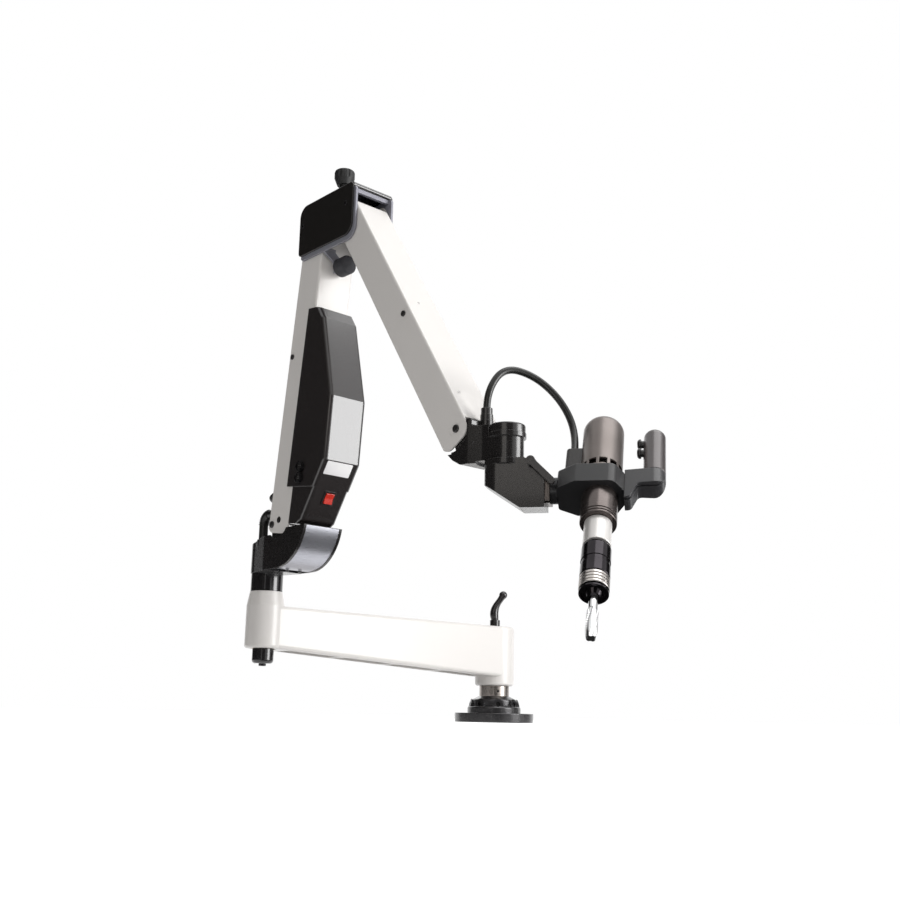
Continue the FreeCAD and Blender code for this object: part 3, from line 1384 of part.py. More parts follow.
def conduit_path(points):
    # Straight runs joined by tangent arcs, each as large as its two runs allow.
    edges = []
    radii = []
    start = points[0]
    for before, corner, after in zip(points, points[1:], points[2:]):
        back = before - corner
        ahead = after - corner
        shorter = min(back.Length, ahead.Length)
        back.normalize()
        ahead.normalize()
        half = 0.5 * math.acos(max(-1.0, min(1.0, back.dot(ahead))))
        reach = 0.45 * shorter
        radius = reach * math.tan(half)
        first = corner + back * reach
        last = corner + ahead * reach
        centre = corner + (back + ahead).normalize() * (radius / math.sin(half))
        middle = centre + (corner - centre).normalize() * radius
        edges.append(Part.LineSegment(start, first).toShape())
        edges.append(Part.Arc(first, middle, last).toShape())
        radii.append(radius)
        start = last
    edges.append(Part.LineSegment(start, points[-1]).toShape())
    return Part.Wire(edges), radii


def make_conduit():
    points = [gland_point, gland_point + Z_AXIS * conduit_rise]
    points = points + [Vector(*corner) for corner in conduit_corners]
    points = points + [box_point + spindle_axis * conduit_drop, box_point]
    path, radii = conduit_path(points)
    ring = Part.Wire(Part.makeCircle(conduit_radius, points[0], points[1] - points[0]))
    tube = path.makePipeShell([ring], True, False)
    keep("conduit", tube)
    section = math.pi * conduit_radius ** 2
    print("conduit length %.1f radii %s" % (path.Length, " ".join("%.0f" % r for r in radii)))
    print("conduit volume over section times length %.4f" % (tube.Volume / (section * path.Length)))


def print_places():
    # Joint centres and directions in the part's own frame, for the record.
    def show(name, vector):
        print("place %s %.3f %.3f %.3f" % (name, vector.x, vector.y, vector.z))

    show("lower_pivot", lower_pivot)
    show("elbow_pivot", elbow_pivot)
    show("upper_pivot", upper_pivot)
    show("wrist_pivot", wrist_pivot)
    show("swivel_point", swivel_point)
    show("tilt_point", tilt_point)
    show("gland_point", gland_point)
    show("box_point", box_point)
    show("lower_tie", lower_pivot + Vector(0, tie_offset, 0))
    show("upper_tie", upper_tie_point(upper_pivot))
    show("spindle", head_place.Base)
    show("tilt_axis", housing_place.Rotation.multVec(X_AXIS))
    show("spindle_axis", spindle_axis)
    show("lock_point", housing_place.multVec(Vector(lock_reach, 0, lock_height)))
    show("lock_axis", housing_place.Rotation.multVec(Y_AXIS))
    rocker = lower_place.multiply(bezel_place())
    show("rocker_point", rocker.multVec(Vector(0, 0, -rocker_hinge_depth + rocker_hinge_radius)))


make_base()
make_swing_arm()
make_clamp_lever()
make_turret()
make_lower_arm()
make_rocker()
make_lower_tie()
make_elbow()
make_knob()
make_upper_arm()
make_upper_tie()
make_wrist()
make_wrist_housing()
make_lock_lever()
make_head()
make_buttons()
make_spindle()
make_conduit()
print_places()

os.makedirs("parts", exist_ok=True)
for name, shape in nodes.items():
    state = "ok" if shape.isValid() else "CHECK"
    print("%-22s %s solids %d volume %.0f" % (name, state, len(shape.Solids), shape.Volume))
    shape.exportStep("parts/%s.step" % name)
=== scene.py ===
import json
import math
import bpy
import bmesh
from mathutils import Matrix, Vector


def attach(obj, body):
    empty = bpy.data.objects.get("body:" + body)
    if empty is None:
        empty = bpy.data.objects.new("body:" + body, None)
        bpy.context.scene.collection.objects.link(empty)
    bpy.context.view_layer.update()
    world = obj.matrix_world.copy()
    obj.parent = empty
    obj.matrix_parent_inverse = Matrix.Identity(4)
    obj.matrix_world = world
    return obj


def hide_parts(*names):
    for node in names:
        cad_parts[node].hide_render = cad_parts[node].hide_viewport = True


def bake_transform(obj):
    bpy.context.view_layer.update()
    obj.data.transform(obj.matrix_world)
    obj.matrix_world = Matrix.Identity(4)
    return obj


# The looks of the balanced tapping arm, in metres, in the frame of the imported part.
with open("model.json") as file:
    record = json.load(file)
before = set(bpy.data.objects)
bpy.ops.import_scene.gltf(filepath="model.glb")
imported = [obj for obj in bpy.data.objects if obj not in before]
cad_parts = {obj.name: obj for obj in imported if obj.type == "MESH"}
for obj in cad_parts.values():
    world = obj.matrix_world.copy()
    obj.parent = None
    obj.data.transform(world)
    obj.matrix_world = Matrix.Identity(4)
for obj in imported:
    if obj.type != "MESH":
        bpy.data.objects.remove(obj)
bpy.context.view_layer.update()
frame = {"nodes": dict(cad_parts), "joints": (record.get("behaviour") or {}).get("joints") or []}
cadNodes = frame["nodes"]
bpy.context.scene.view_settings.view_transform = "Standard"
print("frame loaded:", len(cadNodes), "nodes")

# How far each part leans or turns at rest, in degrees, and the reach from the head's tilt to the spindle
leans = {"lowerArm": 7, "upperArm": 147, "housing": -54.5, "head": -37}
spindleReach = 0.1325
jointSpots = {joint["name"]: joint["pos_m"] for joint in frame["joints"] if "pos_m" in joint}


def standAt(joint):
    return Matrix.Translation(jointSpots[joint])


def leanBy(part, axis):
    return Matrix.Rotation(math.radians(leans[part]), 4, axis)


turret = standAt("post_swivel")
lowerArm = standAt("lower_arm_tilt") @ leanBy("lowerArm", "X")
elbow = standAt("elbow_level")
upperArm = standAt("upper_arm_tilt") @ leanBy("upperArm", "X")
housing = standAt("head_tilt") @ leanBy("housing", "Z")
head = housing @ Matrix.Translation((spindleReach, 0, 0)) @ leanBy("head", "X")
spindleAxis = (head.to_3x3() @ Vector((0, 0, 1))).normalized()


# The photograph's place and lens
cameraLook = {
    "spot": (-1.6859, -1.7195, 0.0120),
    "forward": (0.6509, 0.7234, 0.2302),
    "right": (0.7400, -0.6723, 0.0201),
    "up": (-0.1693, -0.1573, 0.9729),
    "lens": 44.89,
    "sensor": 36.0,
    "near": 0.01,
    "far": 50,
}


def makeCamera(look):
    data = bpy.data.cameras.new("camera")
    data.lens = look["lens"]
    data.sensor_width = look["sensor"]
    data.clip_start = look["near"]
    data.clip_end = look["far"]
    camera = bpy.data.objects.new("camera", data)
    bpy.context.scene.collection.objects.link(camera)
    turn = Matrix((look["right"], look["up"], [-v for v in look["forward"]])).transposed()
    camera.matrix_world = Matrix.Translation(look["spot"]) @ turn.to_quaternion().to_matrix().to_4x4()
    bpy.context.scene.camera = camera


makeCamera(cameraLook)
print("camera set")


# Shader nodes, with a link wherever an input is another node's socket
def addNode(tree, kind, inputs=None, **settings):
    made = tree.nodes.new(kind)
    for key, value in settings.items():
        setattr(made, key, value)
    for key, value in (inputs or {}).items():
        if isinstance(value, bpy.types.NodeSocket):
            tree.links.new(value, made.inputs[key])
        else:
            made.inputs[key].default_value = value
    return made


# How edges are found and rubbed, how fine each noise is, and the spans in which most of its values lie
edgeLook = {"samples": 4, "sharp": 0.12, "rubScale": 160, "rubDetail": 4, "rubFrom": 0.42, "rubTo": 0.62}
noiseDetail = {"patch": 3, "grain": 2, "rings": 4, "lines": 5, "brushedPatch": 2}
noiseSpan = (0.3, 0.7)
productSpan = (0.1, 0.4)
usualCoatRoughness = 0.1


def calculate(tree, operation, first, second):
    return addNode(tree, "ShaderNodeMath", {0: first, 1: second}, operation=operation).outputs[0]


def noiseAt(tree, where, scale, detail):
    made = addNode(tree, "ShaderNodeTexNoise", {"Vector": where, "Scale": scale, "Detail": detail})
    return made.outputs["Fac"]


def mixColours(tree, factor, first, second):
    mixed = addNode(tree, "ShaderNodeMix", data_type="RGBA")
    tree.links.new(factor, mixed.inputs[0])
    for place, value in ((6, first), (7, second)):
        if isinstance(value, bpy.types.NodeSocket):
            tree.links.new(value, mixed.inputs[place])
        else:
            mixed.inputs[place].default_value = (*value, 1)
    return mixed.outputs[2]


def spread(tree, value, low, high, start=0.0, end=1.0):
    ranged = addNode(tree, "ShaderNodeMapRange", {0: value, 1: start, 2: end, 3: low, 4: high})
    return ranged.outputs[0]


def roundedNormal(tree, width):
    return addNode(tree, "ShaderNodeBevel", {"Radius": width}, samples=edgeLook["samples"]).outputs[0]


def rubbedEdges(tree, where, rounded, wear):
    # Where the rounded normal leaves the true one, the surface is near an edge
    flat = addNode(tree, "ShaderNodeNewGeometry").outputs["Normal"]
    dot = addNode(tree, "ShaderNodeVectorMath", {0: rounded, 1: flat}, operation="DOT_PRODUCT")
    edges = spread(tree, dot.outputs["Value"], 1.0, 0.0, 1.0 - edgeLook["sharp"], 1.0)
    rub = noiseAt(tree, where, edgeLook["rubScale"], edgeLook["rubDetail"])
    patches = spread(tree, rub, 0, 1, edgeLook["rubFrom"], edgeLook["rubTo"])
    return calculate(tree, "MULTIPLY", calculate(tree, "MULTIPLY", edges, patches), wear)


def startFinish(name):
    material = bpy.data.materials.new(name)
    material.use_nodes = True
    tree = material.node_tree
    shader = tree.nodes["Principled BSDF"]
    where = addNode(tree, "ShaderNodeTexCoord")
    return material, tree, shader, where.outputs["Object"]


def finishSurface(tree, shader, look, metallic, colour, rough, height, rounded):
    # Colour, gloss and bump are linked, and what is even all over is set on the shader itself
    tree.links.new(colour, shader.inputs["Base Color"])
    tree.links.new(rough, shader.inputs["Roughness"])
    shader.inputs["Metallic"].default_value = look.get("metallic", metallic)
    shader.inputs["Coat Weight"].default_value = look.get("coat", 0.0)
    shader.inputs["Coat Roughness"].default_value = look.get("coatRoughness", usualCoatRoughness)
    shader.inputs["Specular IOR Level"].default_value = look.get("specular", 0.5)
    bump = addNode(tree, "ShaderNodeBump", {"Strength": look["bump"], "Distance": look["depth"],
                                            "Height": height, "Normal": rounded})
    tree.links.new(bump.outputs[0], shader.inputs["Normal"])


def grainedGloss(tree, look, grain):
    low, high = look["roughness"] - look["spread"], look["roughness"] + look["spread"]
    return spread(tree, grain, low, high, *noiseSpan)


def coatedMetal(look):
    # Paint or plastic skin: slow tone change, fine grain in the gloss, orange peel, rubbed edges
    material, tree, shader, where = startFinish(look["name"])
    slow = noiseAt(tree, where, look["patch"], noiseDetail["patch"])
    fine = noiseAt(tree, where, look["grain"], noiseDetail["grain"])
    colour = mixColours(tree, slow, look["colour"], look["shade"])
    rounded = roundedNormal(tree, look["edge"])
    if look.get("wear"):
        worn = rubbedEdges(tree, where, rounded, look["wear"])
        colour = mixColours(tree, worn, colour, look["wornColour"])
    finishSurface(tree, shader, look, 0.0, colour, grainedGloss(tree, look, fine), fine, rounded)
    return material


def markedMetal(look, material, tree, shader, where, marks, detail):
    # Bare metal whose marks show in colour, gloss and bump, over a slow tone change
    slow = noiseAt(tree, where, look["patch"], detail)
    both = calculate(tree, "MULTIPLY", marks, slow)
    colour = mixColours(tree, spread(tree, both, 0, 1, *productSpan), look["colour"], look["shade"])
    rounded = roundedNormal(tree, look["edge"])
    finishSurface(tree, shader, look, 1.0, colour, grainedGloss(tree, look, marks), marks, rounded)
    return material


def turnedMetal(look):
    # Lathe rings round an axis
    material, tree, shader, where = startFinish(look["name"])
    axis = Vector(look["axis"]).normalized()
    along = addNode(tree, "ShaderNodeVectorMath", {0: where, 1: axis}, operation="DOT_PRODUCT")
    rings = addNode(tree, "ShaderNodeTexNoise", {"W": along.outputs["Value"], "Scale": look["rings"],
                                                 "Detail": noiseDetail["rings"]},
                    noise_dimensions="1D").outputs["Fac"]
    return markedMetal(look, material, tree, shader, where, rings, noiseDetail["patch"])


def brushedMetal(look):
    # Straight brush marks along one direction
    material, tree, shader, where = startFinish(look["name"])
    stretched = addNode(tree, "ShaderNodeMapping", {"Vector": where, "Scale": look["stretch"]}).outputs[0]
    lines = noiseAt(tree, stretched, look["lines"], noiseDetail["lines"])
    return markedMetal(look, material, tree, shader, where, lines, noiseDetail["brushedPatch"])


def threadedSteel(look):
    # Polished tap steel, with the thread as a helix in the bump round the spindle axis
    material, tree, shader, where = startFinish(look["name"])
    local = head.inverted()
    inHead = addNode(tree, "ShaderNodeMapping", {"Vector": where, "Location": local.to_translation(),
                                                 "Rotation": local.to_euler()})
    parts = addNode(tree, "ShaderNodeSeparateXYZ", {0: inHead.outputs[0]}).outputs
    angle = calculate(tree, "ARCTAN2", parts["Y"], parts["X"])
    turns = calculate(tree, "MULTIPLY", angle, 1 / (2 * math.pi))
    climb = calculate(tree, "MULTIPLY", parts["Z"], 1 / look["pitch"])
    saw = calculate(tree, "PINGPONG", calculate(tree, "SUBTRACT", climb, turns), 1.0)
    within = calculate(tree, "LESS_THAN", parts["Z"], look["threadTop"])
    height = calculate(tree, "MULTIPLY", saw, within)
    slow = noiseAt(tree, where, look["patch"], noiseDetail["patch"])
    colour = mixColours(tree, slow, look["colour"], look["shade"])
    rough = spread(tree, slow, look["roughness"], look["roughness"] + look["spread"], *noiseSpan)
    finishSurface(tree, shader, look, 1.0, colour, rough, height, roundedNormal(tree, look["edge"]))
    return material


silverPaint = coatedMetal({
    "name": "silverPaint", "colour": (0.76, 0.735, 0.71), "shade": (0.72, 0.695, 0.67), "patch": 5.0,
    "roughness": 0.36, "spread": 0.05, "metallic": 0.0, "coat": 0.25, "coatRoughness": 0.16,
    "grain": 900, "bump": 0.12, "depth": 0.00025, "edge": 0.0010})
castingBlack = coatedMetal({
    "name": "castingBlack", "colour": (0.012, 0.011, 0.011), "shade": (0.018, 0.016, 0.016), "patch": 14.0,
    "roughness": 0.26, "spread": 0.05, "coat": 0.3, "coatRoughness": 0.07,
    "grain": 420, "bump": 0.06, "depth": 0.0003, "edge": 0.0012,
    "wear": 0.35, "wornColour": (0.16, 0.15, 0.15)})
headBlack = coatedMetal({
    "name": "headBlack", "colour": (0.013, 0.013, 0.014), "shade": (0.018, 0.018, 0.019), "patch": 16.0,
    "roughness": 0.36, "spread": 0.05, "coat": 0.15, "coatRoughness": 0.12, "specular": 0.32,
    "grain": 520, "bump": 0.06, "depth": 0.0003, "edge": 0.0014,
    "wear": 0.3, "wornColour": (0.14, 0.14, 0.14)})
baseBlack = coatedMetal({
    "name": "baseBlack", "colour": (0.030, 0.029, 0.031), "shade": (0.045, 0.043, 0.045), "patch": 18.0,
    "roughness": 0.22, "spread": 0.08, "metallic": 0.4, "coat": 0.4, "coatRoughness": 0.08,
    "grain": 500, "bump": 0.2, "depth": 0.0004, "edge": 0.0010, "wear": 0.5, "wornColour": (0.3, 0.3, 0.31)})
coverBlack = coatedMetal({
    "name": "coverBlack", "colour": (0.010, 0.009, 0.008), "shade": (0.014, 0.012, 0.011), "patch": 9.0,
    "roughness": 0.36, "spread": 0.05, "coat": 0.1, "coatRoughness": 0.25,
    "grain": 1500, "bump": 0.15, "depth": 0.0002, "edge": 0.0010})
roofBlack = coatedMetal({
    "name": "roofBlack", "colour": (0.015, 0.014, 0.014), "shade": (0.022, 0.020, 0.020), "patch": 9.0,
    "roughness": 0.20, "spread": 0.05, "coat": 0.8, "coatRoughness": 0.05,
    "grain": 700, "bump": 0.12, "depth": 0.0003, "edge": 0.0012})
controllerSkin = coatedMetal({
    "name": "controllerSkin", "colour": (0.020, 0.017, 0.017), "shade": (0.026, 0.022, 0.022), "patch": 6.0,
    "roughness": 0.30, "spread": 0.04, "coat": 0.8, "coatRoughness": 0.14,
    "grain": 1300, "bump": 0.14, "depth": 0.0002, "edge": 0.0016})
elbowGray = coatedMetal({
    "name": "elbowGray", "colour": (0.30, 0.30, 0.34), "shade": (0.26, 0.26, 0.30), "patch": 12.0,
    "roughness": 0.42, "spread": 0.07, "metallic": 0.25, "grain": 700, "bump": 0.3, "depth": 0.0004,
    "edge": 0.0010})
motorPaint = turnedMetal({
    "name": "motorPaint", "axis": spindleAxis, "rings": 2600, "patch": 20.0,
    "colour": (0.155, 0.135, 0.125), "shade": (0.20, 0.175, 0.165), "roughness": 0.36, "spread": 0.05,
    "metallic": 0.75, "bump": 0.08, "depth": 0.0002, "edge": 0.0008})
sleeveGray = turnedMetal({
    "name": "sleeveGray", "axis": spindleAxis, "rings": 2200, "patch": 25.0,
    "colour": (0.10, 0.085, 0.08), "shade": (0.14, 0.12, 0.115), "roughness": 0.24, "spread": 0.07,
    "metallic": 0.85, "bump": 0.1, "depth": 0.0002, "edge": 0.0008})
postBlack = turnedMetal({
    "name": "postBlack", "axis": (0, 0, 1), "rings": 1600, "patch": 20.0,
    "colour": (0.012, 0.011, 0.012), "shade": (0.020, 0.019, 0.020), "roughness": 0.18, "spread": 0.05,
    "metallic": 0.2, "coat": 0.5, "coatRoughness": 0.03, "bump": 0.1, "depth": 0.0002, "edge": 0.0008})
columnSteel = turnedMetal({
    "name": "columnSteel", "axis": (0, 0, 1), "rings": 1800, "patch": 25.0,
    "colour": (0.42, 0.38, 0.35), "shade": (0.30, 0.27, 0.25), "roughness": 0.22, "spread": 0.08,
    "bump": 0.12, "depth": 0.0002, "edge": 0.0007})
headSteel = turnedMetal({
    "name": "headSteel", "axis": spindleAxis, "rings": 2400, "patch": 25.0,
    "colour": (0.66, 0.63, 0.60), "shade": (0.50, 0.47, 0.45), "roughness": 0.24, "spread": 0.08,
    "bump": 0.12, "depth": 0.0002, "edge": 0.0006})
collarWhite = turnedMetal({
    "name": "collarWhite", "axis": spindleAxis, "rings": 1500, "patch": 25.0,
    "colour": (0.80, 0.78, 0.76), "shade": (0.68, 0.66, 0.64), "roughness": 0.36, "spread": 0.06,
    "metallic": 0.45, "bump": 0.12, "depth": 0.0002, "edge": 0.0006})
chuckBlack = turnedMetal({
    "name": "chuckBlack", "axis": spindleAxis, "rings": 2000, "patch": 25.0,
    "colour": (0.022, 0.020, 0.022), "shade": (0.045, 0.040, 0.045), "roughness": 0.14, "spread": 0.04,
    "metallic": 0.9, "bump": 0.06, "depth": 0.0002, "edge": 0.0006})
pinSteel = turnedMetal({
    "name": "pinSteel", "axis": (1, 0, 0), "rings": 1800, "patch": 25.0,
    "colour": (0.58, 0.56, 0.54), "shade": (0.46, 0.44, 0.43), "roughness": 0.28, "spread": 0.08,
    "bump": 0.1, "depth": 0.0002, "edge": 0.0006})
bearingBronze = turnedMetal({
    "name": "bearingBronze", "axis": (0, 0, 1), "rings": 1800, "patch": 25.0,
    "colour": (0.50, 0.36, 0.20), "shade": (0.38, 0.26, 0.14), "roughness": 0.32, "spread": 0.08,
    "bump": 0.1, "depth": 0.0002, "edge": 0.0006})
stripAluminium = brushedMetal({
    "name": "stripAluminium", "stretch": (0.04, 1, 1), "lines": 1400, "patch": 12.0,
    "colour": (0.50, 0.505, 0.55), "shade": (0.40, 0.405, 0.45), "roughness": 0.34, "spread": 0.08,
    "metallic": 0.85, "bump": 0.12, "depth": 0.0002, "edge": 0.0006})
plateAluminium = brushedMetal({
    "name": "plateAluminium", "stretch": (1, 1, 0.05), "lines": 1300, "patch": 12.0,
    "colour": (0.55, 0.53, 0.52), "shade": (0.42, 0.41, 0.40), "roughness": 0.32, "spread": 0.08,
    "bump": 0.12, "depth": 0.0002, "edge": 0.0006})
flangeSteel = brushedMetal({
    "name": "flangeSteel", "stretch": (1, 1, 0.05), "lines": 1300, "patch": 20.0,
    "colour": (0.16, 0.14, 0.13), "shade": (0.10, 0.09, 0.085), "roughness": 0.30, "spread": 0.08,
    "bump": 0.12, "depth": 0.0002, "edge": 0.0006})
screwSteel = coatedMetal({
    "name": "screwSteel", "colour": (0.50, 0.49, 0.48), "shade": (0.40, 0.39, 0.38), "patch": 120.0,
    "roughness": 0.26, "spread": 0.06, "metallic": 1.0, "grain": 1800, "bump": 0.1, "depth": 0.0001,
    "edge": 0.0003})
screwBlack = coatedMetal({
    "name": "screwBlack", "colour": (0.035, 0.033, 0.035), "shade": (0.05, 0.048, 0.05), "patch": 120.0,
    "roughness": 0.27, "spread": 0.06, "metallic": 0.8, "grain": 1800, "bump": 0.1, "depth": 0.0001,
    "edge": 0.0003, "wear": 0.6, "wornColour": (0.3, 0.3, 0.3)})
knobPlastic = coatedMetal({
    "name": "knobPlastic", "colour": (0.012, 0.012, 0.012), "shade": (0.018, 0.018, 0.018), "patch": 40.0,
    "roughness": 0.55, "spread": 0.06, "grain": 1600, "bump": 0.3, "depth": 0.0003, "edge": 0.0012})
gripPlastic = coatedMetal({
    "name": "gripPlastic", "colour": (0.10, 0.088, 0.088), "shade": (0.075, 0.066, 0.067), "patch": 18.0,
    "roughness": 0.30, "spread": 0.06, "metallic": 0.35, "coat": 0.3, "grain": 1500, "bump": 0.14,
    "depth": 0.0002, "edge": 0.0012})
handleBlack = coatedMetal({
    "name": "handleBlack", "colour": (0.028, 0.028, 0.030), "shade": (0.038, 0.037, 0.040), "patch": 22.0,
    "roughness": 0.34, "spread": 0.06, "coat": 0.25, "specular": 0.4, "grain": 600, "bump": 0.15,
    "depth": 0.0004, "edge": 0.0022})
boxBlack = coatedMetal({
    "name": "boxBlack", "colour": (0.020, 0.018, 0.017), "shade": (0.028, 0.025, 0.024), "patch": 20.0,
    "roughness": 0.44, "spread": 0.06, "coat": 0.05, "specular": 0.35, "grain": 1300, "bump": 0.18,
    "depth": 0.0003, "edge": 0.0012})
hoseRubber = coatedMetal({
    "name": "hoseRubber", "colour": (0.011, 0.011, 0.010), "shade": (0.017, 0.017, 0.016), "patch": 40.0,
    "roughness": 0.34, "spread": 0.06, "coat": 0.1, "specular": 0.4, "grain": 900, "bump": 0.15,
    "depth": 0.0003, "edge": 0.0004})
bumperRubber = coatedMetal({
    "name": "bumperRubber", "colour": (0.030, 0.030, 0.036), "shade": (0.042, 0.042, 0.049), "patch": 60.0,
    "roughness": 0.62, "spread": 0.08, "grain": 1100, "bump": 0.3, "depth": 0.0004, "edge": 0.0014})
buttonRubber = coatedMetal({
    "name": "buttonRubber", "colour": (0.018, 0.016, 0.016), "shade": (0.026, 0.024, 0.024), "patch": 90.0,
    "roughness": 0.34, "spread": 0.05, "coat": 0.3, "grain": 1400, "bump": 0.12, "depth": 0.0002,
    "edge": 0.0010})
rockerRed = coatedMetal({
    "name": "rockerRed", "colour": (0.62, 0.035, 0.02), "shade": (0.50, 0.025, 0.015), "patch": 90.0,
    "roughness": 0.22, "spread": 0.04, "coat": 0.5, "grain": 1400, "bump": 0.08, "depth": 0.0002,
    "edge": 0.0008})
boardGreen = coatedMetal({
    "name": "boardGreen", "colour": (0.03, 0.20, 0.07), "shade": (0.02, 0.14, 0.05), "patch": 120.0,
    "roughness": 0.40, "spread": 0.08, "grain": 800, "bump": 0.2, "depth": 0.0003, "edge": 0.0004})
labelWhite = coatedMetal({
    "name": "labelWhite", "colour": (0.83, 0.82, 0.82), "shade": (0.78, 0.77, 0.78), "patch": 60.0,
    "roughness": 0.34, "spread": 0.05, "coat": 0.3, "grain": 1200, "bump": 0.05, "depth": 0.0001,
    "edge": 0.0003})
tapSteel = threadedSteel({
    "name": "tapSteel", "colour": (0.80, 0.80, 0.80), "shade": (0.68, 0.68, 0.69), "patch": 80.0,
    "roughness": 0.10, "spread": 0.08, "bump": 0.5, "depth": 0.0006, "edge": 0.0004,
    "pitch": 0.00175, "threadTop": -0.2305})

finishes = [
    (silverPaint, ["lower_tube", "upper_tube", "swing_arm"]),
    (baseBlack, ["base_flange", "base_hub"]),
    (castingBlack, ["yoke", "wrist_bracket", "swivel_cap", "wrist_housing", "clamp_lever"]),
    (headBlack, ["head_casting", "tilt_shaft"]),
    (columnSteel, ["base_column", "base_collar", "swivel_shaft"]),
    (bearingBronze, ["swing_base_bush", "swing_post_bush"]),
    (postBlack, ["post_sleeve", "post_shaft"]),
    (stripAluminium, ["yoke_strip"]),
    (plateAluminium, ["lower_tie_rod", "upper_tie_rod"]),
    (flangeSteel, ["neck_flange"]),
    (pinSteel, ["lower_pins", "elbow_pins", "elbow_tie_pins"]),
    (silverPaint, ["wrist_pins"]),
    (elbowGray, ["elbow_core"]),
    (coverBlack, ["elbow_cover_left", "elbow_cover_right"]),
    (roofBlack, ["elbow_roof"]),
    (knobPlastic, ["elbow_knob"]),
    (bumperRubber, ["bumper"]),
    (controllerSkin, ["controller_housing"]),
    (boxBlack, ["connector_box"]),
    (buttonRubber, ["rocker_bezel", "panel_sockets", "cable_inlet", "conduit_gland", "lock_lever",
                    "button_reverse", "button_forward"]),
    (handleBlack, ["handle_arm"]),
    (gripPlastic, ["grip"]),
    (motorPaint, ["motor_can", "lower_gas_spring", "upper_gas_spring"]),
    (sleeveGray, ["quill_sleeve"]),
    (collarWhite, ["spindle_collar"]),
    (chuckBlack, ["chuck_body"]),
    (headSteel, ["drive_spindle", "release_ring", "motor_core"]),
    (plateAluminium, ["power_supply"]),
    (hoseRubber, ["conduit", "rear_hose"]),
    (rockerRed, ["rocker"]),
    (boardGreen, ["control_board"]),
    (tapSteel, ["tap"]),
]
for finish, names in finishes:
    for name in names:
        cadNodes[name].data.materials.clear()
        cadNodes[name].data.materials.append(finish)
print("finishes on the nodes")


# Selecting and shaping in edit mode
touching = 1e-5   # closer than this counts as in the same place
upright = 0.99    # a normal with more of this along Z points up
level = 0.1       # and one with less of this along Z points sideways


def clearSelection():
    for thing in bpy.context.selected_objects:
        thing.select_set(False)


def pick(piece, kind, test):
    mesh = bmesh.from_edit_mesh(piece.data)
    bpy.ops.mesh.select_mode(type=kind)
    bpy.ops.mesh.select_all(action="DESELECT")
    group = {"VERT": mesh.verts, "EDGE": mesh.edges, "FACE": mesh.faces}[kind]
    for part in group:
        if test(part):
            part.select_set(True)
    bmesh.update_edit_mesh(piece.data)


def onlySelected(piece):
    clearSelection()
    piece.select_set(True)
    bpy.context.view_layer.objects.active = piece


def startCylinder(name, radius, height, sides=36):
    clearSelection()
    bpy.ops.mesh.primitive_cylinder_add(vertices=sides, radius=radius, depth=height,
                                        location=(0, 0, height / 2))
    piece = bpy.context.active_object
    piece.name = name
    bpy.ops.object.transform_apply(location=True, rotation=True, scale=True)
    bpy.ops.object.mode_set(mode="EDIT")
    return piece


def roundTop(piece, radius, height, rim, segments=3):
    pick(piece, "EDGE", lambda e: all(v.co.z > height - touching and v.co.xy.length > radius - touching
                                      for v in e.verts))
    bpy.ops.mesh.bevel(offset=rim, segments=segments, affect="EDGES")


def pickTop(piece, height):
    pick(piece, "FACE", lambda f: f.normal.z > upright and f.calc_center_median().z > height - touching)


def facing(place, spot, direction):
    turn = Vector((0, 0, 1)).rotation_difference(Vector(direction)).to_matrix().to_4x4()
    return place @ Matrix.Translation(spot) @ turn


def settle(piece, place, body, finish, smooth=35):
    onlySelected(piece)
    piece.matrix_world = place @ piece.matrix_world
    bpy.ops.object.transform_apply(location=True, rotation=True, scale=True)
    bpy.ops.object.shade_smooth_by_angle(angle=math.radians(smooth))
    piece.data.materials.clear()
    piece.data.materials.append(finish)
    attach(piece, body)
    return piece


def setOut(master, name, placings, body, finish):
    # One model, copied to each of its places, each copy with its own mesh
    for number, place in enumerate(placings, 1):
        copy = master.copy()
        copy.data = master.data.copy()
        copy.name = "%s%d" % (name, number)
        bpy.context.scene.collection.objects.link(copy)
        settle(copy, place, body, finish)
    bpy.data.objects.remove(master, do_unlink=True)


def makeScrew(look):
    # Round head with a hex socket
    radius, height = look["radius"], look["height"]
    screw = startCylinder("screw", radius, height)
    roundTop(screw, radius, height, look["rim"])
    pickTop(screw, height)
    bpy.ops.mesh.delete(type="FACE")
    bpy.ops.mesh.primitive_circle_add(vertices=6, radius=look["socket"], fill_type="NOTHING",
                                      location=(0, 0, height))
    pick(screw, "EDGE", lambda e: len(e.link_faces) < 2 and all(v.co.z > height - touching for v in e.verts))
    bpy.ops.mesh.bridge_edge_loops()
    pick(screw, "EDGE", lambda e: len(e.link_faces) < 2)
    bpy.ops.mesh.extrude_region_move(TRANSFORM_OT_translate={"value": (0, 0, -look["deep"])})
    bpy.ops.mesh.edge_face_add()
    bpy.ops.mesh.select_all(action="SELECT")
    bpy.ops.mesh.normals_make_consistent(inside=False)
    bpy.ops.object.mode_set(mode="OBJECT")
    return screw


crownShare = 0.28   # how far in from its rim a plug's dome starts


def makePlug(look):
    # Push-in plug with a domed face and a thin flange
    radius, height = look["radius"], look["height"]
    plug = startCylinder("plug", radius, height)
    roundTop(plug, radius, height, look["rim"], 4)
    pickTop(plug, height)
    bpy.ops.mesh.inset(thickness=radius * crownShare)
    bpy.ops.transform.translate(value=(0, 0, look["dome"]))
    bpy.ops.object.mode_set(mode="OBJECT")
    return plug


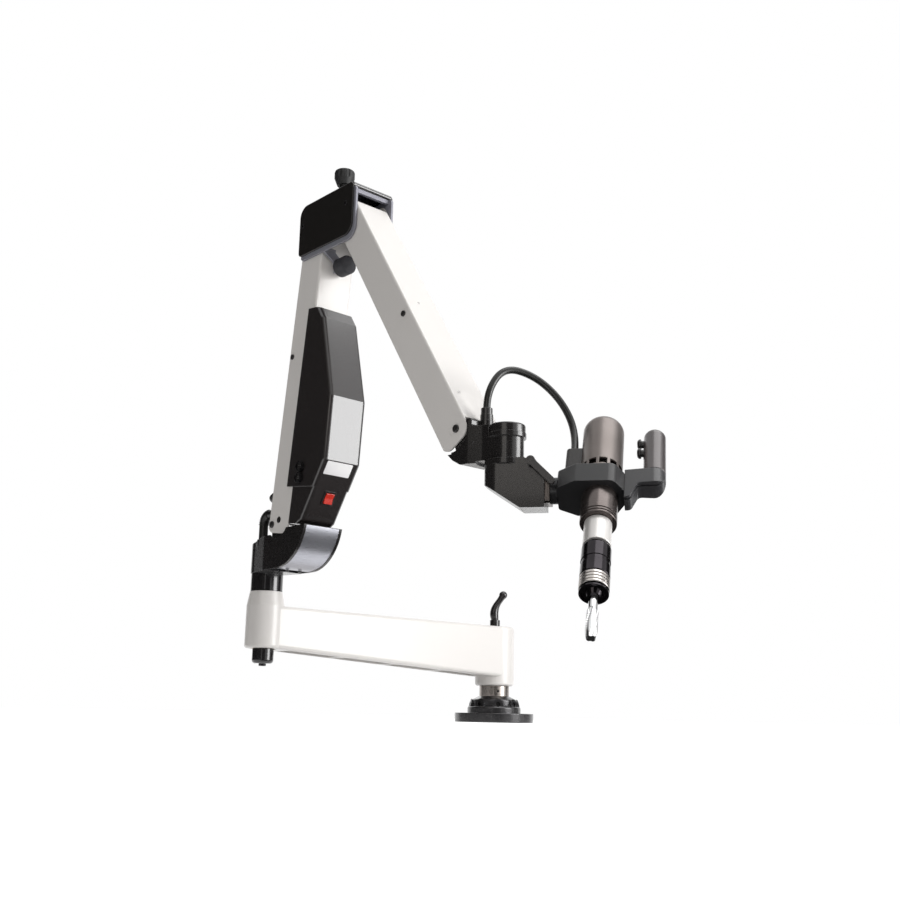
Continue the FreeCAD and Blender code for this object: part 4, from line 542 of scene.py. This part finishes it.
def makeKnurledRing(look):
    # Ring whose every other flank stands proud
    radius, height = look["radius"], look["height"]
    ring = startCylinder("knurl", radius, height, look["sides"])
    pick(ring, "FACE", lambda f: abs(f.normal.z) < level)
    bpy.ops.mesh.inset(thickness=look["margin"], use_individual=False)

    def proudFlank(face):
        middle = abs(face.calc_center_median().z - height / 2) < height / 4
        turn = math.atan2(face.normal.y, face.normal.x) / (2 * math.pi)
        return abs(face.normal.z) < level and middle and round(turn * look["sides"] - 0.5) % 2 == 0

    pick(ring, "FACE", proudFlank)
    bpy.ops.mesh.extrude_faces_move(TRANSFORM_OT_shrink_fatten={"value": look["proud"]})
    pickTop(ring, height)
    bpy.ops.mesh.inset(thickness=radius - look["bore"])
    bpy.ops.mesh.extrude_region_move(TRANSFORM_OT_translate={"value": (0, 0, -look["deep"])})
    bpy.ops.object.mode_set(mode="OBJECT")
    return ring


# One cord from the gland on the wrist to the box on the head, cut at the top of its arch, because
# it crosses two joints and one piece can bend with only one
conduitLook = {
    "diameter": 0.011,
    "steps": 24,
    "facets": 8,
    "weld": 1e-6,     # how near two points of its mesh are the same one
    "held": 4,        # steps of the line counted from each end
    "smooth": 40,
    "route": [(-0.581, -0.570749, 0.453054), (-0.581, -0.570749, 0.479554), (-0.5515, -0.577, 0.5225),
              (-0.503, -0.5955, 0.514), (-0.469, -0.6185, 0.477), (-0.458905, -0.637356, 0.426095),
              (-0.4812, -0.653235, 0.389741)],
}


def makeConduit(look):
    route = bpy.data.curves.new("conduitRoute", "CURVE")
    route.dimensions = "3D"
    line = route.splines.new("NURBS")
    line.points.add(len(look["route"]) - 1)
    for point, spot in zip(line.points, look["route"]):
        point.co = (*spot, 1)
    line.order_u = 3
    line.use_endpoint_u = True
    line.resolution_u = look["steps"]
    holder = bpy.data.objects.new("conduitRoute", route)
    bpy.context.scene.collection.objects.link(holder)
    middle = bpy.data.meshes.new_from_object(holder)
    path = [v.co.copy() for v in middle.vertices]
    route.bevel_depth = look["diameter"] / 2
    route.bevel_resolution = look["facets"]
    route.use_fill_caps = True
    halfway = len(path) // 2
    centre = path[halfway]
    ahead = (path[halfway + 1] - path[halfway - 1]).normalized()
    halves = []
    for name, before in (("conduitLower", True), ("conduitUpper", False)):
        tube = bpy.data.objects.new(name, bpy.data.meshes.new_from_object(holder))
        bpy.context.scene.collection.objects.link(tube)
        onlySelected(tube)
        bpy.ops.object.mode_set(mode="EDIT")
        bpy.ops.mesh.select_all(action="SELECT")
        bpy.ops.mesh.remove_doubles(threshold=look["weld"])
        bpy.ops.mesh.bisect(plane_co=centre, plane_no=ahead, use_fill=True, clear_outer=before,
                            clear_inner=not before)
        bpy.ops.mesh.select_all(action="SELECT")
        bpy.ops.mesh.normals_make_consistent(inside=False)
        bpy.ops.object.mode_set(mode="OBJECT")
        bpy.ops.object.shade_smooth_by_angle(angle=math.radians(look["smooth"]))
        tube.data.materials.clear()
        tube.data.materials.append(hoseRubber)
        halves.append(tube)
    bpy.data.objects.remove(holder, do_unlink=True)
    lower, upper = halves
    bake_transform(lower)
    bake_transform(upper)
    parts = ((lower, path[:halfway + 1], path[0]), (upper, path[halfway:], path[-1]))
    for tube, line, leaves in parts:
        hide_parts("conduit")
    print("conduit length", round(sum((b - a).length for a, b in zip(path, path[1:])), 4))


makeConduit(conduitLook)
print("conduit made")


def makePlate(look):
    # Thin sign plate with round corners and a softened rim
    clearSelection()
    bpy.ops.mesh.primitive_cube_add(size=1, location=(0, 0, look["thick"] / 2),
                                    scale=(look["wide"], look["high"], look["thick"]))
    plate = bpy.context.active_object
    plate.name = "plate"
    bpy.ops.object.transform_apply(location=True, rotation=True, scale=True)
    bpy.ops.object.mode_set(mode="EDIT")
    pick(plate, "EDGE", lambda e: abs(e.verts[0].co.z - e.verts[1].co.z) > look["thick"] / 2)
    bpy.ops.mesh.bevel(offset=look["corner"], segments=5, affect="EDGES")
    pick(plate, "EDGE", lambda e: all(v.co.z > look["thick"] - touching for v in e.verts))
    bpy.ops.mesh.bevel(offset=look["rim"], segments=2, affect="EDGES")
    bpy.ops.object.mode_set(mode="OBJECT")
    return plate


# Socket screws in the sloped lugs of the hub
hubScrew = {"radius": 0.0046, "height": 0.0095, "rim": 0.0007, "socket": 0.0023, "deep": 0.0035,
            "mouth": (0.051, 0, 0.0367), "slope": 14, "sunk": 0.013, "first": 235, "count": 8}
lugSlope = math.radians(hubScrew["slope"])
lugOut = Vector((math.cos(lugSlope), 0, math.sin(lugSlope)))
lugSeat = Vector(hubScrew["mouth"]) - lugOut * hubScrew["sunk"]
lugTurns = [math.radians(hubScrew["first"] + 360 * i / hubScrew["count"]) for i in range(hubScrew["count"])]
setOut(makeScrew(hubScrew), "hubScrew",
       [facing(Matrix.Rotation(turn, 4, "Z"), lugSeat, lugOut) for turn in lugTurns], "base", screwBlack)

# Grub screw in the collar under the swing arm
collarScrew = {"radius": 0.0024, "height": 0.0045, "rim": 0.0003, "socket": 0.0012, "deep": 0.002,
               "spot": (0.0232, 0, 0.06325), "turn": 240}
setOut(makeScrew(collarScrew), "collarScrew",
       [facing(Matrix.Rotation(math.radians(collarScrew["turn"]), 4, "Z"), collarScrew["spot"], (1, 0, 0))],
       "base", screwBlack)

# Screw in the post's foot, and the two low bolts under the yoke's round front
postScrew = {"radius": 0.0065, "height": 0.004, "rim": 0.0008, "socket": 0.003, "deep": 0.0022,
             "spot": (0, 0, 0.0946)}
setOut(makeScrew(postScrew), "postScrew", [facing(turret, postScrew["spot"], (0, 0, -1))],
       "turret", screwBlack)
yokeBolt = {"radius": 0.0034, "height": 0.0028, "rim": 0.0005, "socket": 0.0016, "deep": 0.0014,
            "spots": [(-0.013, -0.0825, 0.2535), (0.013, -0.0825, 0.2535)]}
setOut(makeScrew(yokeBolt), "yokeBolt", [facing(turret, spot, (0, 0, -1)) for spot in yokeBolt["spots"]],
       "turret", screwBlack)
print("base and turret dressed")

# Plugs in the sides of both arm tubes, and the covers of their pins
tubePlug = {"radius": 0.005, "height": 0.0022, "rim": 0.0011, "dome": 0.0005,
            "lower": (0.0365, 0.0206, 0.2936), "upper": (0.0365, 0.016, 0.2841)}
pinCap = {"radius": 0.0062, "height": 0.0026, "rim": 0.0012, "dome": 0.0006,
          "lower": (0.0365, 0.0193, -0.0088), "upper": (0.0365, 0.0093, 0.5336)}


def bothSides(place, spot):
    x, y, z = spot
    return [facing(place, (side * x, y, z), (side, 0, 0)) for side in (-1, 1)]


for look, name in ((tubePlug, "TubePlug"), (pinCap, "PinCap")):
    setOut(makePlug(look), "lower" + name, bothSides(lowerArm, look["lower"]), "lower_arm", buttonRubber)
    setOut(makePlug(look), "upper" + name, bothSides(upperArm, look["upper"]), "upper_arm", buttonRubber)

# Small countersunk screws on the upper arm's top face, and in the elbow's covers
topScrew = {"radius": 0.0024, "height": 0.0006, "rim": 0.0002, "socket": 0.0011, "deep": 0.0004,
            "spots": [(-0.007, 0.031, 0.2636), (-0.0186, 0.031, 0.4727)]}
setOut(makeScrew(topScrew), "topScrew", [facing(upperArm, spot, (0, 1, 0)) for spot in topScrew["spots"]],
       "upper_arm", screwSteel)
coverScrew = {"radius": 0.0042, "height": 0.0013, "rim": 0.0005, "socket": 0.0018, "deep": 0.001,
              "spots": [(0.0448, 0.0255, 0.011), (0.0448, -0.1022, 0.0133)]}
setOut(makeScrew(coverScrew), "coverScrew",
       [place for spot in coverScrew["spots"] for place in bothSides(elbow, spot)], "elbow", screwBlack)

# Bare plate under the brow of the control box, and knurled nuts round its two sockets
boxPlate = {"wide": 0.053, "high": 0.0244, "thick": 0.0005, "corner": 0.0016, "rim": 0.0002,
            "facet": (0, -0.089, 0.0422), "lean": 115.894, "spot": (-0.0035, 0.0546, 0)}
facet = (lowerArm @ Matrix.Translation(boxPlate["facet"])
         @ Matrix.Rotation(math.radians(boxPlate["lean"]), 4, "X"))
setOut(makePlate(boxPlate), "boxPlate", [facet @ Matrix.Translation(boxPlate["spot"])],
       "lower_arm", labelWhite)
socketNut = {"radius": 0.0086, "height": 0.0072, "sides": 48, "margin": 0.0012, "proud": 0.0009,
             "bore": 0.0076, "deep": 0.007, "spots": [(-0.039, -0.054, 0.072), (-0.039, -0.054, 0.092)]}
setOut(makeKnurledRing(socketNut), "socketNut",
       [facing(lowerArm, spot, (-1, 0, 0)) for spot in socketNut["spots"]], "lower_arm", screwBlack)
inletNut = {"radius": 0.0108, "height": 0.0085, "sides": 56, "margin": 0.0014, "proud": 0.0009,
            "bore": 0.0101, "deep": 0.0083, "spot": (-0.023, 0.0311, 0.040)}
setOut(makeKnurledRing(inletNut), "inletNut", [facing(lowerArm, inletNut["spot"], (0, 1, 0))],
       "lower_arm", buttonRubber)
socketPin = {"radius": 0.0006, "height": 0.0026, "rim": 0.0003, "dome": 0.0001, "ring": 0.0024,
             "proud": 0.0019, "count": 4}
pinTurns = [2 * math.pi * (i + 0.5) / socketPin["count"] for i in range(socketPin["count"])]
pinOffsets = [Vector((-socketPin["proud"], socketPin["ring"] * math.cos(turn),
                      socketPin["ring"] * math.sin(turn))) for turn in pinTurns]
socketPins = [facing(lowerArm, Vector(spot) + offset, (-1, 0, 0))
              for spot in socketNut["spots"] for offset in pinOffsets]
setOut(makePlug(socketPin), "socketPin", socketPins, "lower_arm", screwSteel)
print("arms dressed")


# Floor, backdrop and lights
floorLook = {"size": 30.0, "drop": 0.0005, "colour": 0.86, "glow": 0.68}
worldLook = {"light": 0.38, "white": 1.0}
lampTarget = (-0.45, -0.35, 0.45)
lamps = {
    "keyLight": {"spot": (0.95, -2.55, 0.75), "size": 1.3, "power": 50.0, "colour": (1.0, 1.0, 1.0)},
    "fillLight": {"spot": (-2.9, -1.6, 1.4), "size": 1.2, "power": 6.5, "colour": (1.0, 0.95, 0.9)},
    "topLight": {"spot": (0.2, -1.2, 2.9), "size": 2.0, "power": 30.0, "colour": (1.0, 1.0, 1.0)},
    "backLight": {"spot": (1.4, 1.8, 1.6), "size": 1.5, "power": 6.0, "colour": (1.0, 1.0, 1.0)},
}
cardShade = 0.03
cards = {
    "cardBackLeft": {"spot": (-2.3, 1.5, 1.0), "wide": 4.4, "high": 4.4},
    "cardLeft": {"spot": (-3.6, -1.0, 1.0), "wide": 3.0, "high": 4.4},
    "cardBehind": {"spot": (-2.3, -3.6, 0.8), "wide": 2.6, "high": 4.4},
    "cardRight": {"spot": (2.6, -1.1, 0.9), "wide": 1.6, "high": 3.6},
    "cardUnder": {"spot": (-0.45, -0.75, 0.002), "wide": 1.5, "high": 1.1, "target": (-0.45, -0.75, 1.0)},
}


def seenRays(tree):
    # 1 for what the camera, gloss or glass sees, and 0 for light that falls on things
    ray = addNode(tree, "ShaderNodeLightPath").outputs
    seen = calculate(tree, "MAXIMUM", ray["Is Camera Ray"], ray["Is Glossy Ray"])
    return calculate(tree, "MAXIMUM", seen, ray["Is Transmission Ray"])


def gray(shade):
    return (shade, shade, shade, 1)


def makeFloor(look):
    clearSelection()
    bpy.ops.mesh.primitive_plane_add(size=look["size"], location=(0, 0, -look["drop"]))
    floor = bpy.context.active_object
    floor.name = "floor"
    material = bpy.data.materials.new("floorWhite")
    material.use_nodes = True
    tree = material.node_tree
    tree.nodes.clear()
    base = addNode(tree, "ShaderNodeBsdfDiffuse", {"Color": gray(look["colour"])})
    glow = addNode(tree, "ShaderNodeEmission", {"Color": gray(1), "Strength": look["glow"]})
    lit = addNode(tree, "ShaderNodeAddShader", {0: base.outputs[0], 1: glow.outputs[0]})
    mixed = addNode(tree, "ShaderNodeMixShader", {0: seenRays(tree), 1: base.outputs[0], 2: lit.outputs[0]})
    addNode(tree, "ShaderNodeOutputMaterial", {"Surface": mixed.outputs[0]})
    floor.data.materials.append(material)


def makeWorld(look):
    world = bpy.data.worlds.new("studio")
    bpy.context.scene.world = world
    world.use_nodes = True
    tree = world.node_tree
    tree.nodes.clear()
    light = addNode(tree, "ShaderNodeBackground", {"Color": gray(1), "Strength": look["light"]})
    white = addNode(tree, "ShaderNodeBackground", {"Color": gray(1), "Strength": look["white"]})
    shades = {0: seenRays(tree), 1: light.outputs[0], 2: white.outputs[0]}
    mixed = addNode(tree, "ShaderNodeMixShader", shades)
    addNode(tree, "ShaderNodeOutputWorld", {"Surface": mixed.outputs[0]})


def aim(thing, spot, target):
    thing.location = spot
    thing.rotation_mode = "QUATERNION"
    thing.rotation_quaternion = (Vector(target) - Vector(spot)).to_track_quat("-Z", "Y")


def makeLamp(name, look):
    data = bpy.data.lights.new(name, "AREA")
    data.shape = "RECTANGLE"
    data.size = look["size"]
    data.size_y = look["size"]
    data.energy = look["power"]
    data.color = look["colour"]
    lamp = bpy.data.objects.new(name, data)
    bpy.context.scene.collection.objects.link(lamp)
    aim(lamp, look["spot"], lampTarget)
    lamp.visible_camera = False


def makeCard(name, look):
    # Dark card that only reflections see, so that gloss and metal have something to mirror
    clearSelection()
    bpy.ops.mesh.primitive_plane_add(size=1, location=(0, 0, 0))
    card = bpy.context.active_object
    card.name = name
    card.scale = (look["wide"], look["high"], 1)
    aim(card, look["spot"], look.get("target", lampTarget))
    material, tree, shader, where = startFinish(name)
    shader.inputs["Base Color"].default_value = gray(cardShade)
    shader.inputs["Roughness"].default_value = 1.0
    shader.inputs["Specular IOR Level"].default_value = 0.0
    card.data.materials.append(material)
    card.visible_camera = False
    card.visible_shadow = False
    card.visible_diffuse = False


makeFloor(floorLook)
makeWorld(worldLook)
for name, look in lamps.items():
    makeLamp(name, look)
for name, look in cards.items():
    makeCard(name, look)
print("studio set")
